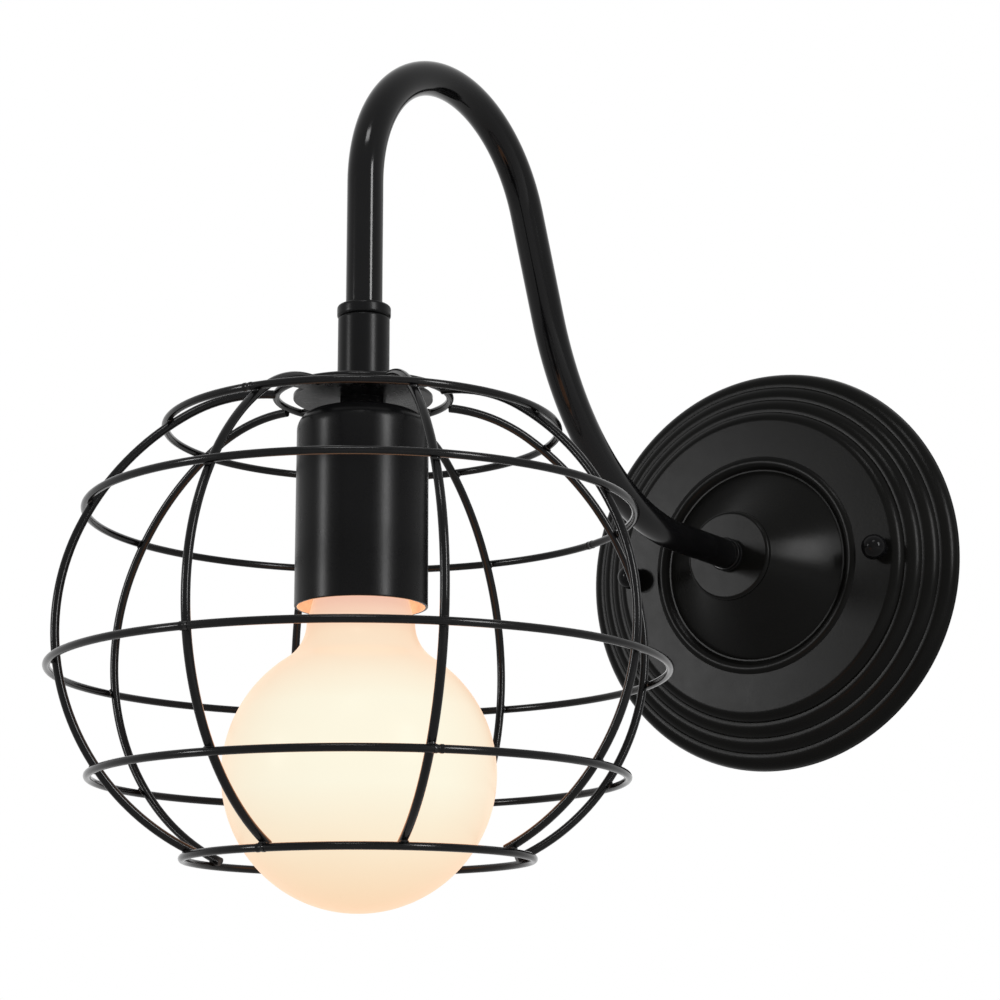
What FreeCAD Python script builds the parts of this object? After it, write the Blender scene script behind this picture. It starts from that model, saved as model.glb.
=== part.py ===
import FreeCAD, Part
import math
import os
import re

import Sketcher

# Cage wall light: a spun wall plate, a swan-neck arm, a socket cup and a round wire cage with a globe bulb.
# Millimetres. The wall is the plane Y = 0, the light stands out towards -Y and +Z is up. The origin is the
# centre of the mounting bar's back face, on the wall. Lengths "out" are measured from the wall.

SIZES = [
    # wall plate: a spun steel dish with rounded ridges, a flat ring and a cone in its middle
    ("plate_radius", 85.5),
    ("plate_depth", 15.2),
    ("plate_sheet", 1.0),
    ("rim_height", 1.8),
    ("rim_inset", 0.5),
    ("ridge_count", 3),
    ("ridge_width", 6.2),
    ("ridge_rise", 3.3),
    ("ridge_roundness", 5.6),
    ("shoulder_width", 4.2),
    ("shoulder_roundness", 4.6),
    ("bead_radius", 46.4),
    ("bead_width", 4.6),
    ("bead_roundness", 3.4),
    ("groove_width", 1.6),
    ("groove_slope", 0.5),
    ("groove_depth", 1.2),
    ("hub_length", 39.0),
    ("hub_end_radius", 17.5),
    ("hub_end_run", 1.2),
    ("hub_end_drop", 1.9),
    ("hub_end_roundness", 1.7),
    ("hub_flare", 150.0),
    ("sheet_shift", 0.6),
    # mounting bar behind the plate, with its screws
    ("bar_width", 22.0),
    ("bar_thickness", 2.0),
    ("bar_joggle", 4.0),
    ("bar_flat_half", 43.0),
    ("bar_bend_run", 6.0),
    ("bar_end_margin", 7.0),
    ("slot_offset", 31.0),
    ("slot_length", 14.0),
    ("slot_width", 4.6),
    ("stud_offset", 57.0),
    ("stud_radius", 2.0),
    ("stud_head_radius", 3.6),
    ("stud_head_height", 2.0),
    ("stud_grip", 5.5),
    ("screw_slot_width", 0.9),
    ("screw_slot_depth", 0.8),
    # ball cap nuts that hold the plate on the studs
    ("ball_radius", 5.2),
    ("ball_neck_radius", 3.8),
    ("ball_neck_height", 1.6),
    ("ball_bore_depth", 7.5),
    # arm: one bent tube, and the threaded nipples in its two ends
    ("reach", 294.3),
    ("arm_height", 134.8),
    ("arm_radius", 6.0),
    ("arm_wall", 0.95),
    ("rise_bend", 102.9),
    ("crown_bend", 52.2),
    ("arm_lean", 68.6),
    ("arm_end_gap", 4.8),
    ("nipple_radius", 5.0),
    ("nipple_bore", 3.6),
    ("nipple_grip", 16.0),
    ("root_nipple_tail", 16.0),
    ("nut_flats", 14.0),
    ("root_nut_height", 4.0),
    ("lock_washer_radius", 8.6),
    ("lock_washer_height", 0.8),
    ("root_collar_radius", 6.9),
    ("root_collar_height", 3.6),
    ("root_collar_band", 1.2),
    ("root_collar_slope", 0.3),
    ("root_collar_waist", 0.5),
    ("root_collar_groove", 0.35),
    # head of the arm: sleeve, cap and washer above the cage plate
    ("head_level", 8.9),
    ("washer_radius", 7.9),
    ("washer_height", 1.3),
    ("sleeve_radius", 8.45),
    ("sleeve_length", 25.0),
    ("sleeve_edge", 0.5),
    ("cap_radius", 8.8),
    ("cap_height", 4.2),
    ("cap_roundness", 1.0),
    # cage: wires bent to one meridian, rings outside them
    ("rib_wire_radius", 1.4),
    ("ring_wire_radius", 1.25),
    ("weld_bite", 0.3),
    ("cage_radius", 96.2),
    ("side_arc", 74.85),
    ("shoulder_arc", 90.0),
    ("crown_arc", 52.0),
    ("side_end_angle", 23.85),
    ("shoulder_end_angle", 57.1),
    ("rib_count", 8),
    ("rib_first_angle", 5.2),
    ("rib_butt", 1.0),
    ("rib_seat_drop", 1.1),
    ("rib_tail_angle", 1.6),
    ("top_ring_radius", 28.2),
    ("crown_ring_angle", 52.8),
    ("shoulder_ring_angle", 29.6),
    ("belt_ring_angle", -8.2),
    ("waist_ring_angle", -35.6),
    ("foot_ring_angle", -64.6),
    ("cage_plate_height", 1.2),
    ("cage_disc_radius", 22.6),
    ("web_count", 4),
    ("web_first_angle", -102.0),
    ("web_half_angle", 8.5),
    ("web_bite", 0.02),
    # socket cup and its nuts
    ("lock_nut_height", 4.8),
    ("cup_radius", 21.3),
    ("cup_wall", 1.0),
    ("cup_height", 63.6),
    ("cup_roundness", 6.0),
    ("inner_nut_height", 3.0),
    # lampholder for a 27 mm screw base
    ("holder_radius", 18.6),
    ("holder_top_radius", 11.0),
    ("holder_cap_height", 18.9),
    ("holder_roof", 4.0),
    ("holder_wall", 2.2),
    ("barrel_length", 27.5),
    ("insert_height", 5.5),
    ("contact_depth", 2.1),
    ("contact_radius", 4.5),
    ("contact_sheet", 0.6),
    ("contact_post_radius", 1.6),
    ("post_offset", 10.0),
    ("post_radius", 2.2),
    ("post_height", 5.0),
    ("nipple_head_tail", 7.0),
    ("shell_sheet", 0.4),
    ("shell_margin", 2.5),
    # globe bulb
    ("globe_radius", 43.1),
    ("glass_wall", 0.8),
    ("neck_radius", 17.2),
    ("neck_roundness", 14.0),
    ("neck_mouth_radius", 15.2),
    ("neck_taper", 8.6),
    ("neck_run", 7.9),
    ("neck_insert", 4.5),
    ("base_radius", 13.2),
    ("base_height", 27.0),
    ("base_sheet", 0.3),
    ("thread_depth", 0.9),
    ("thread_pitch", 3.63),
    ("thread_turns", 4),
    ("tip_radius", 4.8),
    ("tip_face_radius", 4.0),
    ("tip_height", 1.4),
    ("insulator_height", 3.4),
    ("insulator_radius", 11.4),
    ("thread_lead_in", 1.0),
    ("stem_radius", 3.2),
    ("stem_length", 38.0),
    ("filament_radius", 0.4),
    ("filament_leg", 2.0),
    ("filament_bend", 1.6),
    ("filament_spread", 9.0),
    ("filament_drop", 12.0),
    # wiring
    ("lead_radius", 1.1),
    ("lead_offset", 1.6),
    ("lead_bend", 3.4),
    ("lead_terminal_bend", 3.0),
    ("lead_run", 6.8),
    ("block_length", 25.0),
    ("block_width", 15.0),
    ("block_height", 11.0),
    ("block_pitch", 8.0),
    ("port_radius", 2.3),
    ("port_level", 5.2),
    ("insert_wall", 0.7),
    ("block_screw_radius", 1.5),
    ("block_screw_inset", 3.6),
    ("earth_offset", 18.5),
    ("earth_screw_radius", 1.6),
    ("earth_head_radius", 3.0),
    ("earth_head_height", 1.8),
    ("tag_radius", 3.6),
    ("tag_sheet", 0.6),
    ("tag_lift", 0.2),
    ("tag_barrel_wall", 0.6),
    ("tag_barrel_length", 5.0),
    # clearances
    ("thread_gap", 0.05),
    ("slip_gap", 0.1),
    ("running_gap", 0.3),
]

# Values that follow from the sizes: name and formula.
DERIVED = [
    # arm centre line, out from the wall and up
    ("leg_length", "(arm_height - crown_bend - rise_bend * (1 - cos(arm_lean)) + crown_bend * cos(arm_lean))"
                   " / sin(arm_lean)"),
    ("rise_start", "reach - crown_bend - (rise_bend + crown_bend) * sin(arm_lean)"
                   " - leg_length * cos(arm_lean)"),
    ("rise_end_out", "rise_start + rise_bend * sin(arm_lean)"),
    ("rise_end_up", "rise_bend * (1 - cos(arm_lean))"),
    ("crown_start_out", "rise_end_out + leg_length * cos(arm_lean)"),
    ("crown_start_up", "rise_end_up + leg_length * sin(arm_lean)"),
    ("crown_level", "arm_height - crown_bend"),
    ("arm_bore", "arm_radius - arm_wall"),
    # levels of the head, from the top down
    ("sleeve_foot", "head_level + washer_height"),
    ("arm_end", "sleeve_foot + arm_end_gap"),
    ("plate_under", "head_level - cage_plate_height"),
    ("cup_top", "plate_under - lock_nut_height"),
    ("cup_mouth", "cup_top - cup_height"),
    ("holder_top", "cup_top - cup_wall - inner_nut_height"),
    ("holder_seam", "holder_top - holder_cap_height"),
    ("contact_level", "holder_seam - contact_depth"),
    ("barrel_mouth", "holder_seam - barrel_length"),
    ("barrel_bore", "base_radius + running_gap + shell_sheet + thread_gap"),
    ("nipple_foot", "holder_top - nipple_head_tail"),
    # bulb
    ("tip_level", "contact_level - running_gap"),
    ("base_top", "tip_level - tip_height"),
    ("base_foot", "tip_level - base_height"),
    ("shell_top", "base_top - insulator_height"),
    ("thread_root", "base_radius - thread_depth"),
    ("neck_top_radius", "base_radius - base_sheet - slip_gap"),
    ("stem_foot", "base_foot - stem_length"),
    ("neck_blend_radius", "neck_radius + neck_roundness"),
    ("neck_blend_rise", "sqrt((globe_radius + neck_roundness) ^ 2 - neck_blend_radius ^ 2)"),
    ("blend_share", "globe_radius / (globe_radius + neck_roundness)"),
    ("neck_foot", "base_foot - neck_taper - neck_run"),
    ("globe_level", "neck_foot - neck_blend_rise"),
    # cage meridian: three tangent arcs
    ("top_ring_level", "plate_under + cage_plate_height / 2"),
    ("side_centre", "cage_radius - side_arc"),
    ("shoulder_centre", "side_centre + (side_arc - shoulder_arc) * cos(side_end_angle)"),
    ("crown_centre", "shoulder_centre + (shoulder_arc - crown_arc) * cos(shoulder_end_angle)"),
    ("crown_end", "top_ring_radius + rib_butt"),
    ("crown_end_rise", "sqrt(crown_arc ^ 2 - (crown_end - crown_centre) ^ 2)"),
    ("crown_centre_level", "top_ring_level - rib_seat_drop - crown_end_rise"),
    ("shoulder_centre_level", "crown_centre_level - (shoulder_arc - crown_arc) * sin(shoulder_end_angle)"),
    ("side_centre_level", "shoulder_centre_level - (side_arc - shoulder_arc) * sin(side_end_angle)"),
    ("ring_offset", "rib_wire_radius + ring_wire_radius - weld_bite"),
    ("rib_tail", "foot_ring_angle - rib_tail_angle"),
    # wall plate
    ("ridge_start", "plate_radius - rim_inset"),
    ("ridge_end_radius", "ridge_start - ridge_count * ridge_width"),
    ("ridge_end_height", "rim_height + ridge_count * ridge_rise"),
    ("annulus_radius", "ridge_end_radius - shoulder_width"),
    ("bead_inner", "bead_radius - bead_width"),
    ("cone_foot_radius", "bead_inner - groove_width"),
    ("cone_foot_height", "plate_depth - groove_depth"),
    # wall hardware
    ("bar_front", "bar_thickness"),
    ("tab_front", "bar_joggle + bar_thickness"),
    ("stud_tip", "plate_depth + stud_grip"),
    ("root_nut_top", "hub_length - plate_sheet - lock_washer_height"),
    ("root_nut_foot", "root_nut_top - root_nut_height"),
    ("root_nipple_foot", "hub_length - root_nipple_tail"),
    ("port_height", "bar_front + port_level"),
    ("insert_bore", "port_radius - thread_gap - insert_wall"),
    ("tag_front", "bar_front + tag_sheet"),
    ("tag_bore", "lead_radius + slip_gap"),
    ("tag_barrel_radius", "tag_bore + tag_barrel_wall"),
    ("post_level", "holder_seam + insert_height + post_height / 2"),
    ("ball_rise", "sqrt(ball_radius ^ 2 - ball_neck_radius ^ 2)"),
    ("ball_centre", "running_gap + ball_neck_height + ball_rise"),
]

doc = FreeCAD.newDocument("cage_wall_light")
sheet = doc.addObject("Spreadsheet::Sheet", "Sizes")
for row, (name, value) in enumerate(SIZES, start=1):
    sheet.set("A%d" % row, name)
    sheet.set("B%d" % row, str(value))
    sheet.setAlias("B%d" % row, name)
doc.recompute()

derived = doc.addObject("App::VarSet", "Derived")
SIZE_NAMES = {name for name, value in SIZES}
DERIVED_NAMES = {name for name, formula in DERIVED}
WORD = re.compile(r"[a-z][a-z_]*")


def bound(formula):
    """The formula with each size name pointing at its own cell or derived value."""

    def owner(match):
        word = match.group(0)
        if word in SIZE_NAMES:
            return "Sizes." + word
        if word in DERIVED_NAMES:
            return "Derived." + word
        return word

    return WORD.sub(owner, str(formula))


def number(formula):
    """The value of a formula, as a plain number."""
    value = derived.evalExpression(bound(formula))
    return float(getattr(value, "Value", value))


for name, formula in DERIVED:
    derived.addProperty("App::PropertyFloat", name)
    derived.setExpression(name, bound(formula))
    doc.recompute()

AXIS_OUT = FreeCAD.Rotation(FreeCAD.Vector(1, 0, 0), 90)
NODES = []


def new_body(label):
    body = doc.addObject("PartDesign::Body", label)
    body.Label = label
    NODES.append(body)
    return body


def on_lamp_axis(body, level="0"):
    """Moves a body made round the Z axis to the lamp's own axis, at a level."""
    body.setExpression("Placement.Base.y", bound("-reach"))
    body.setExpression("Placement.Base.z", bound(level))
    return body


def on_wall_axis(body, out="0", across="0"):
    """Turns a body made round the Z axis so that it points out of the wall, at a place along X."""
    body.Placement = FreeCAD.Placement(FreeCAD.Vector(), AXIS_OUT)
    body.setExpression("Placement.Base.x", bound(across))
    body.setExpression("Placement.Base.y", bound("-(%s)" % out))
    return body


def plane_of(body, role):
    return next(plane for plane in body.Origin.OriginFeatures if plane.Role == role)


def arc_through(start, end, bend):
    """The arc from start to end with the signed radius bend: positive turns left."""
    chord = end - start
    half = chord.Length / 2
    height = math.sqrt(max(bend * bend - half * half, 0))
    left = FreeCAD.Vector(-chord.y, chord.x, 0).normalize()
    side = 1 if bend > 0 else -1
    centre = (start + end) / 2 + left * height * side
    middle_way = left * -side
    middle = centre + middle_way * abs(bend)
    return Part.Arc(start, middle, end)


def draw(body, name, role, steps, closed=True):
    """A sketch through the given points; a point's third value bends the line that leaves it."""
    sketch = body.newObject("Sketcher::SketchObject", name)
    sketch.AttachmentSupport = [(plane_of(body, role), "")]
    sketch.MapMode = "FlatFace"
    points = [FreeCAD.Vector(number(step[0]), number(step[1]), 0) for step in steps]
    count = len(steps) if closed else len(steps) - 1
    ends = []
    for index in range(count):
        start = points[index]
        end = points[(index + 1) % len(steps)]
        if len(steps[index]) > 2:
            sketch.addGeometry(arc_through(start, end, number(steps[index][2])), False)
            forward = sketch.getPoint(index, 1).distanceToPoint(start) < 1e-6
            ends.append((1, 2) if forward else (2, 1))
        else:
            sketch.addGeometry(Part.LineSegment(start, end), False)
            ends.append((1, 2))
    joints = range(count) if closed else range(count - 1)
    for index in joints:
        following = (index + 1) % count
        sketch.addConstraint(Sketcher.Constraint(
            "Coincident", index, ends[index][1], following, ends[following][0]))
    places = [(index, ends[index][0]) for index in range(count)]
    if not closed:
        places.append((count - 1, ends[count - 1][1]))
    for (geometry, end), step, point in zip(places, steps, points):
        for way, formula, value in (("DistanceX", step[0], point.x), ("DistanceY", step[1], point.y)):
            row = sketch.addConstraint(Sketcher.Constraint(way, -1, 1, geometry, end, value))
            sketch.setExpression("Constraints[%d]" % row, bound(formula))
    for index in range(count):
        if len(steps[index]) > 2:
            radius = abs(number(steps[index][2]))
            row = sketch.addConstraint(Sketcher.Constraint("Radius", index, radius))
            sketch.setExpression("Constraints[%d]" % row, bound("abs(%s)" % steps[index][2]))
    return sketch


def draw_circles(body, name, role, circles):
    """A sketch of circles, each given as across, up and radius."""
    sketch = body.newObject("Sketcher::SketchObject", name)
    sketch.AttachmentSupport = [(plane_of(body, role), "")]
    sketch.MapMode = "FlatFace"
    for index, (across, up, radius) in enumerate(circles):
        centre = FreeCAD.Vector(number(across), number(up), 0)
        circle = Part.Circle(centre, FreeCAD.Vector(0, 0, 1), number(radius))
        sketch.addGeometry(circle, False)
        rows = (
            (Sketcher.Constraint("DistanceX", -1, 1, index, 3, centre.x), across),
            (Sketcher.Constraint("DistanceY", -1, 1, index, 3, centre.y), up),
            (Sketcher.Constraint("Radius", index, number(radius)), radius),
        )
        for constraint, formula in rows:
            row = sketch.addConstraint(constraint)
            sketch.setExpression("Constraints[%d]" % row, bound(formula))
    return sketch


def revolve(body, steps, name="Turning"):
    sketch = draw(body, name + "Profile", "XZ_Plane", steps)
    turning = body.newObject("PartDesign::Revolution", name)
    turning.Profile = sketch
    turning.ReferenceAxis = (sketch, ["V_Axis"])
    turning.Angle = 360
    doc.recompute()
    return turning


def turned(label, steps):
    """A body turned round its own Z axis from (radius, height) points."""
    body = new_body(label)
    revolve(body, steps)
    return body


def ring_of(label, inner, outer, low, high):
    """A plain turned ring between two radii and two heights."""
    return turned(label, [(inner, low), (outer, low), (outer, high), (inner, high)])


def pad(body, sketch, length, both_ways=False, backwards=False, name="Block"):
    block = body.newObject("PartDesign::Pad", name)
    block.Profile = sketch
    block.Length = number(length)
    block.setExpression("Length", bound(length))
    block.Midplane = both_ways
    block.Reversed = backwards
    doc.recompute()
    return block


def cut_through(body, sketch, name):
    """Cuts a sketch's shape right through a body, both ways, and checks that it took something away."""
    before = body.Shape.Volume
    cut = body.newObject("PartDesign::Pocket", name)
    cut.Profile = sketch
    cut.Type = "ThroughAll"
    cut.Midplane = True
    doc.recompute()
    if not body.Shape.Volume < before:
        raise RuntimeError("%s cut nothing in %s" % (name, body.Label))
    return cut


def hexagon(flats):
    corner = "(%s) / sqrt(3)" % flats
    return [("%s * cos(%d)" % (corner, 60 * k), "%s * sin(%d)" % (corner, 60 * k)) for k in range(6)]


def hex_nut(label, height):
    """A hexagon nut for the nipple thread, standing on the plane Z = 0."""
    body = new_body(label)
    pad(body, draw(body, "Hexagon", "XY_Plane", hexagon("nut_flats")), height)
    bore = draw_circles(body, "Bore", "XY_Plane", [("0", "0", "nipple_radius + thread_gap")])
    cut_through(body, bore, "Thread")
    return body


def piped(label, role, steps, radii):
    """A body swept along a flat path of lines and arcs, from one or two circles."""
    body = new_body(label)
    path = draw(body, "Path", role, steps, closed=False)
    doc.recompute()
    section = body.newObject("Sketcher::SketchObject", "Section")
    section.AttachmentSupport = [(path, "Edge1")]
    section.MapMode = "NormalToEdge"
    section.MapPathParameter = 0
    for index, radius in enumerate(radii):
        circle = Part.Circle(FreeCAD.Vector(), FreeCAD.Vector(0, 0, 1), number(radius))
        section.addGeometry(circle, False)
        section.addConstraint(Sketcher.Constraint("Coincident", index, 3, -1, 1))
        row = section.addConstraint(Sketcher.Constraint("Radius", index, number(radius)))
        section.setExpression("Constraints[%d]" % row, bound(radius))
    doc.recompute()
    sweep = body.newObject("PartDesign::AdditivePipe", "Sweep")
    sweep.Profile = section
    sweep.Spine = (path, ["Edge%d" % (k + 1) for k in range(len(steps) - 1)])
    doc.recompute()
    return body


def bent_wire(points, bends):
    """Straight runs joined by tangent arcs: one radius for each inner point."""
    edges = []
    last = points[0]
    for index in range(1, len(points) - 1):
        corner = points[index]
        arrive = (corner - points[index - 1]).normalize()
        leave = (points[index + 1] - corner).normalize()
        turn = arrive.getAngle(leave)
        radius = bends[index - 1]
        setback = radius * math.tan(turn / 2)
        start = corner - arrive * setback
        end = corner + leave * setback
        inward = (leave - arrive).normalize()
        middle = corner + inward * (radius / math.cos(turn / 2) - radius)
        edges.append(Part.LineSegment(last, start).toShape())
        edges.append(Part.Arc(start, middle, end).toShape())
        last = end
    edges.append(Part.LineSegment(last, points[-1]).toShape())
    return Part.Wire(edges)


def bent_rod(label, points, bends, radius):
    """A round wire along its real route in space."""
    wire = bent_wire(points, bends)
    start = points[0]
    along = (points[1] - points[0]).normalize()
    section = Part.Wire([Part.Circle(start, along, radius).toShape()])
    shape = wire.makePipeShell([section], True, False)
    feature = doc.addObject("Part::Feature", label)
    feature.Label = label
    feature.Shape = shape
    expected = math.pi * radius ** 2 * wire.Length
    print("%s: length %.1f, least bend %.1f, volume share %.4f"
          % (label, wire.Length, min(bends), shape.Volume / expected))
    NODES.append(feature)
    return feature


def wall_plate():
    """Ridged flank, flat ring, bead and groove round the cone, and the cone with its flat end."""
    outer = [("plate_radius", "0"), ("ridge_start", "rim_height", "ridge_roundness")]
    for k in range(1, int(number("ridge_count"))):
        outer.append(("ridge_start - %d * ridge_width" % k, "rim_height + %d * ridge_rise" % k,
                      "ridge_roundness"))
    outer += [
        ("ridge_end_radius", "ridge_end_height", "shoulder_roundness"),
        ("annulus_radius", "plate_depth"),
        ("bead_radius", "plate_depth", "bead_roundness"),
        ("bead_inner", "plate_depth"),
        ("bead_inner - groove_slope", "cone_foot_height"),
        ("cone_foot_radius", "cone_foot_height", "-hub_flare"),
        ("hub_end_radius + hub_end_run", "hub_length - hub_end_drop", "hub_end_roundness"),
        ("hub_end_radius", "hub_length"),
    ]
    inner = []
    turned_back = list(reversed(outer[1:]))
    for index, step in enumerate(turned_back):
        place = ("%s - sheet_shift" % step[0], "%s - plate_sheet" % step[1])
        source = turned_back[index + 1] if index + 1 < len(turned_back) else ()
        inner.append(place + (("-(%s)" % source[2],) if len(source) > 2 else ()))
    bore = "nipple_radius + slip_gap"
    steps = outer + [(bore, "hub_length"), (bore, "hub_length - plate_sheet")] + inner
    steps += [("plate_radius - sheet_shift", "0")]
    body = turned("wall_plate", steps)
    holes = [(side + "stud_offset", "0", "stud_radius + slip_gap") for side in ("", "-")]
    cut_through(body, draw_circles(body, "StudHoles", "XY_Plane", holes), "StudHoleCut")
    return on_wall_axis(body)


def slot_outline(across):
    """A slot along X with round ends, in the bar's plane."""
    run = "(slot_length - slot_width) / 2"
    half = "slot_width / 2"
    right = "%s + %s" % (across, run)
    left = "%s - %s" % (across, run)
    return [
        (right, "-" + half, half), ("%s + %s" % (right, half), "0", half), (right, half),
        (left, half, half), ("%s - %s" % (left, half), "0", half), (left, "-" + half),
    ]


def mounting_bar():
    """A flat bar on the wall whose ends step forward, so that the stud heads fit behind them."""
    body = new_body("mounting_bar")
    half_end = "stud_offset + bar_end_margin"
    ramp_end = "bar_flat_half + bar_bend_run"
    front = [("-(%s)" % half_end, "-tab_front"), ("-(%s)" % ramp_end, "-tab_front"),
             ("-bar_flat_half", "-bar_front"), ("bar_flat_half", "-bar_front"),
             (ramp_end, "-tab_front"), (half_end, "-tab_front")]
    back = [(x, "%s + bar_thickness" % y) for x, y in reversed(front)]
    pad(body, draw(body, "SideOutline", "XY_Plane", front + back), "bar_width", both_ways=True)
    for word, across in (("Right", "slot_offset"), ("Left", "-slot_offset")):
        cut_through(body, draw(body, word + "Slot", "XZ_Plane", slot_outline(across)), word + "SlotCut")
    tapped = "stud_radius + thread_gap"
    holes = [("stud_offset", "0", tapped), ("-stud_offset", "0", tapped),
             ("earth_offset", "0", "earth_screw_radius + thread_gap")]
    cut_through(body, draw_circles(body, "ScrewHoles", "XZ_Plane", holes), "ScrewHoleCut")
    return body


def cylinder(name, radius, height, out, across="0"):
    """A plain cylinder that starts at a distance out from the wall and points out of it."""
    item = doc.addObject("Part::Cylinder", name)
    item.setExpression("Radius", bound(radius))
    item.setExpression("Height", bound(height))
    return on_wall_axis(item, out, across)


def upright(name, radius, height, across, out, level):
    """A plain upright cylinder."""
    item = doc.addObject("Part::Cylinder", name)
    item.setExpression("Radius", bound(radius))
    item.setExpression("Height", bound(height))
    item.setExpression("Placement.Base.x", bound(across))
    item.setExpression("Placement.Base.y", bound("-(%s)" % out))
    item.setExpression("Placement.Base.z", bound(level))
    return item


def joined(kind, name, base, tool):
    item = doc.addObject(kind, name)
    item.Base, item.Tool = base, tool
    return item


def group(label, pieces):
    """Identical pieces kept together under one name, as separate solids."""
    item = doc.addObject("Part::Compound", label)
    item.Label = label
    item.Links = pieces
    NODES.append(item)
    return item


def slotted_head(name, radius, height, out, across, slot_out):
    """A round screw head with a screwdriver slot, cut from the given side."""
    head = cylinder(name + "Head", radius, height, out, across)
    slot = doc.addObject("Part::Box", name + "Slot")
    slot.setExpression("Length", bound("4 * %s" % radius))
    slot.setExpression("Width", bound("screw_slot_depth"))
    slot.setExpression("Height", bound("screw_slot_width"))
    slot.setExpression("Placement.Base.x", bound("%s - 2 * %s" % (across, radius)))
    slot.setExpression("Placement.Base.y", bound("-(%s) - screw_slot_depth" % slot_out))
    slot.setExpression("Placement.Base.z", bound("-screw_slot_width / 2"))
    return joined("Part::Cut", name + "SlottedHead", head, slot)


def canopy_studs():
    """Two long screws that stand out of the bar's stepped ends, with their heads behind it."""
    screws = []
    for word, across in (("Right", "stud_offset"), ("Left", "-stud_offset")):
        head_out = "bar_joggle - stud_head_height"
        head = slotted_head("Stud" + word, "stud_head_radius", "stud_head_height", head_out, across, head_out)
        shank = cylinder("StudShank" + word, "stud_radius", "stud_tip - bar_joggle", "bar_joggle", across)
        screws.append(joined("Part::Fuse", "Stud" + word + "Screw", head, shank))
    return group("canopy_studs", screws)


def cap_nut(label, across):
    """A ball cap nut on a short neck, blind bored for the stud."""
    bore = "stud_radius + thread_gap"
    neck_top = "running_gap + ball_neck_height"
    body = turned(label, [
        (bore, "running_gap"), ("ball_neck_radius", "running_gap"),
        ("ball_neck_radius", neck_top, "ball_radius"),
        ("ball_radius", "ball_centre", "ball_radius"),
        ("0", "ball_centre + ball_radius"), ("0", "ball_bore_depth"), (bore, "ball_bore_depth"),
    ])
    return on_wall_axis(body, "plate_depth", across)


def root_fittings():
    """What fixes the arm to the plate: nipple, toothed washer and nut inside, grooved collar outside."""
    on_wall_axis(ring_of("root_nipple", "nipple_bore", "nipple_radius", "root_nipple_foot",
                         "hub_length + nipple_grip"))
    on_wall_axis(ring_of("root_lock_washer", "nipple_radius + slip_gap", "lock_washer_radius", "root_nut_top",
                         "root_nut_top + lock_washer_height"))
    on_wall_axis(hex_nut("root_nut", "root_nut_height"), "root_nut_foot")
    inside = "arm_radius + slip_gap"
    groove = "root_collar_radius - root_collar_groove"
    groove_foot = "root_collar_band + root_collar_slope"
    groove_top = "%s + root_collar_waist" % groove_foot
    on_wall_axis(turned("root_collar", [
        (inside, "0"), ("root_collar_radius", "0"), ("root_collar_radius", "root_collar_band"),
        (groove, groove_foot), (groove, groove_top),
        ("root_collar_radius", "%s + root_collar_slope" % groove_top),
        ("root_collar_radius", "root_collar_height - root_collar_slope"),
        (groove, "root_collar_height"), (inside, "root_collar_height"),
    ]), "hub_length")


def arm_tube():
    """Level out of the wall, up a long bend, along a leaning leg, over the crown and straight down."""
    return piped("arm_tube", "YZ_Plane", [
        ("-hub_length", "0"),
        ("-rise_start", "0", "-rise_bend"),
        ("-rise_end_out", "rise_end_up"),
        ("-crown_start_out", "crown_start_up", "crown_bend"),
        ("-reach", "crown_level"),
        ("-reach", "arm_end"),
    ], ["arm_radius", "arm_bore"])


def head_fittings():
    """The stack on the lamp axis: nipple, sleeve with its loose cap, washer and the two nuts."""
    on_lamp_axis(ring_of("head_nipple", "nipple_bore", "nipple_radius", "nipple_foot",
                         "arm_end + nipple_grip"))
    on_lamp_axis(ring_of("sleeve_washer", "nipple_radius + slip_gap", "washer_radius", "0", "washer_height"),
                 "head_level")
    inside = "arm_radius + slip_gap"
    on_lamp_axis(turned("arm_sleeve", [
        (inside, "0"), ("sleeve_radius - sleeve_edge", "0"), ("sleeve_radius", "sleeve_edge"),
        ("sleeve_radius", "sleeve_length - sleeve_edge"), ("sleeve_radius - sleeve_edge", "sleeve_length"),
        (inside, "sleeve_length"),
    ]), "sleeve_foot")
    on_lamp_axis(turned("sleeve_cap", [
        (inside, "0"), ("cap_radius - cap_roundness", "0", "cap_roundness"), ("cap_radius", "cap_roundness"),
        ("cap_radius", "cap_height - cap_roundness", "cap_roundness"),
        ("cap_radius - cap_roundness", "cap_height"), (inside, "cap_height"),
    ]), "sleeve_foot + sleeve_length")
    on_lamp_axis(hex_nut("cage_lock_nut", "lock_nut_height"), "cup_top")
    on_lamp_axis(hex_nut("cup_inner_nut", "inner_nut_height"), "holder_top")


def on_arc(centre, level, radius, angle):
    """A place on one of the meridian's arcs, as radius and level."""
    return ("%s + (%s) * cos(%s)" % (centre, radius, angle), "%s + (%s) * sin(%s)" % (level, radius, angle))


def cage_rib(index):
    """One meridian wire, from the top ring down to the foot ring."""
    body = piped("cage_rib_%d" % (index + 1), "XZ_Plane", [
        ("crown_end", "top_ring_level - rib_seat_drop", "-crown_arc"),
        on_arc("crown_centre", "crown_centre_level", "crown_arc", "shoulder_end_angle") + ("-shoulder_arc",),
        on_arc("side_centre", "side_centre_level", "side_arc", "side_end_angle") + ("-side_arc",),
        on_arc("side_centre", "side_centre_level", "side_arc", "rib_tail"),
    ], ["rib_wire_radius"])
    turn = number("rib_first_angle + %d * 360 / rib_count" % index)
    body.Placement.Rotation = FreeCAD.Rotation(FreeCAD.Vector(0, 0, 1), turn)
    return on_lamp_axis(body)


def cage_ring(label, radius, level):
    ring = doc.addObject("Part::Torus", label)
    ring.Label = label
    ring.setExpression("Radius1", bound(radius))
    ring.setExpression("Radius2", bound("ring_wire_radius"))
    NODES.append(ring)
    return on_lamp_axis(ring, level)


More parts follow.
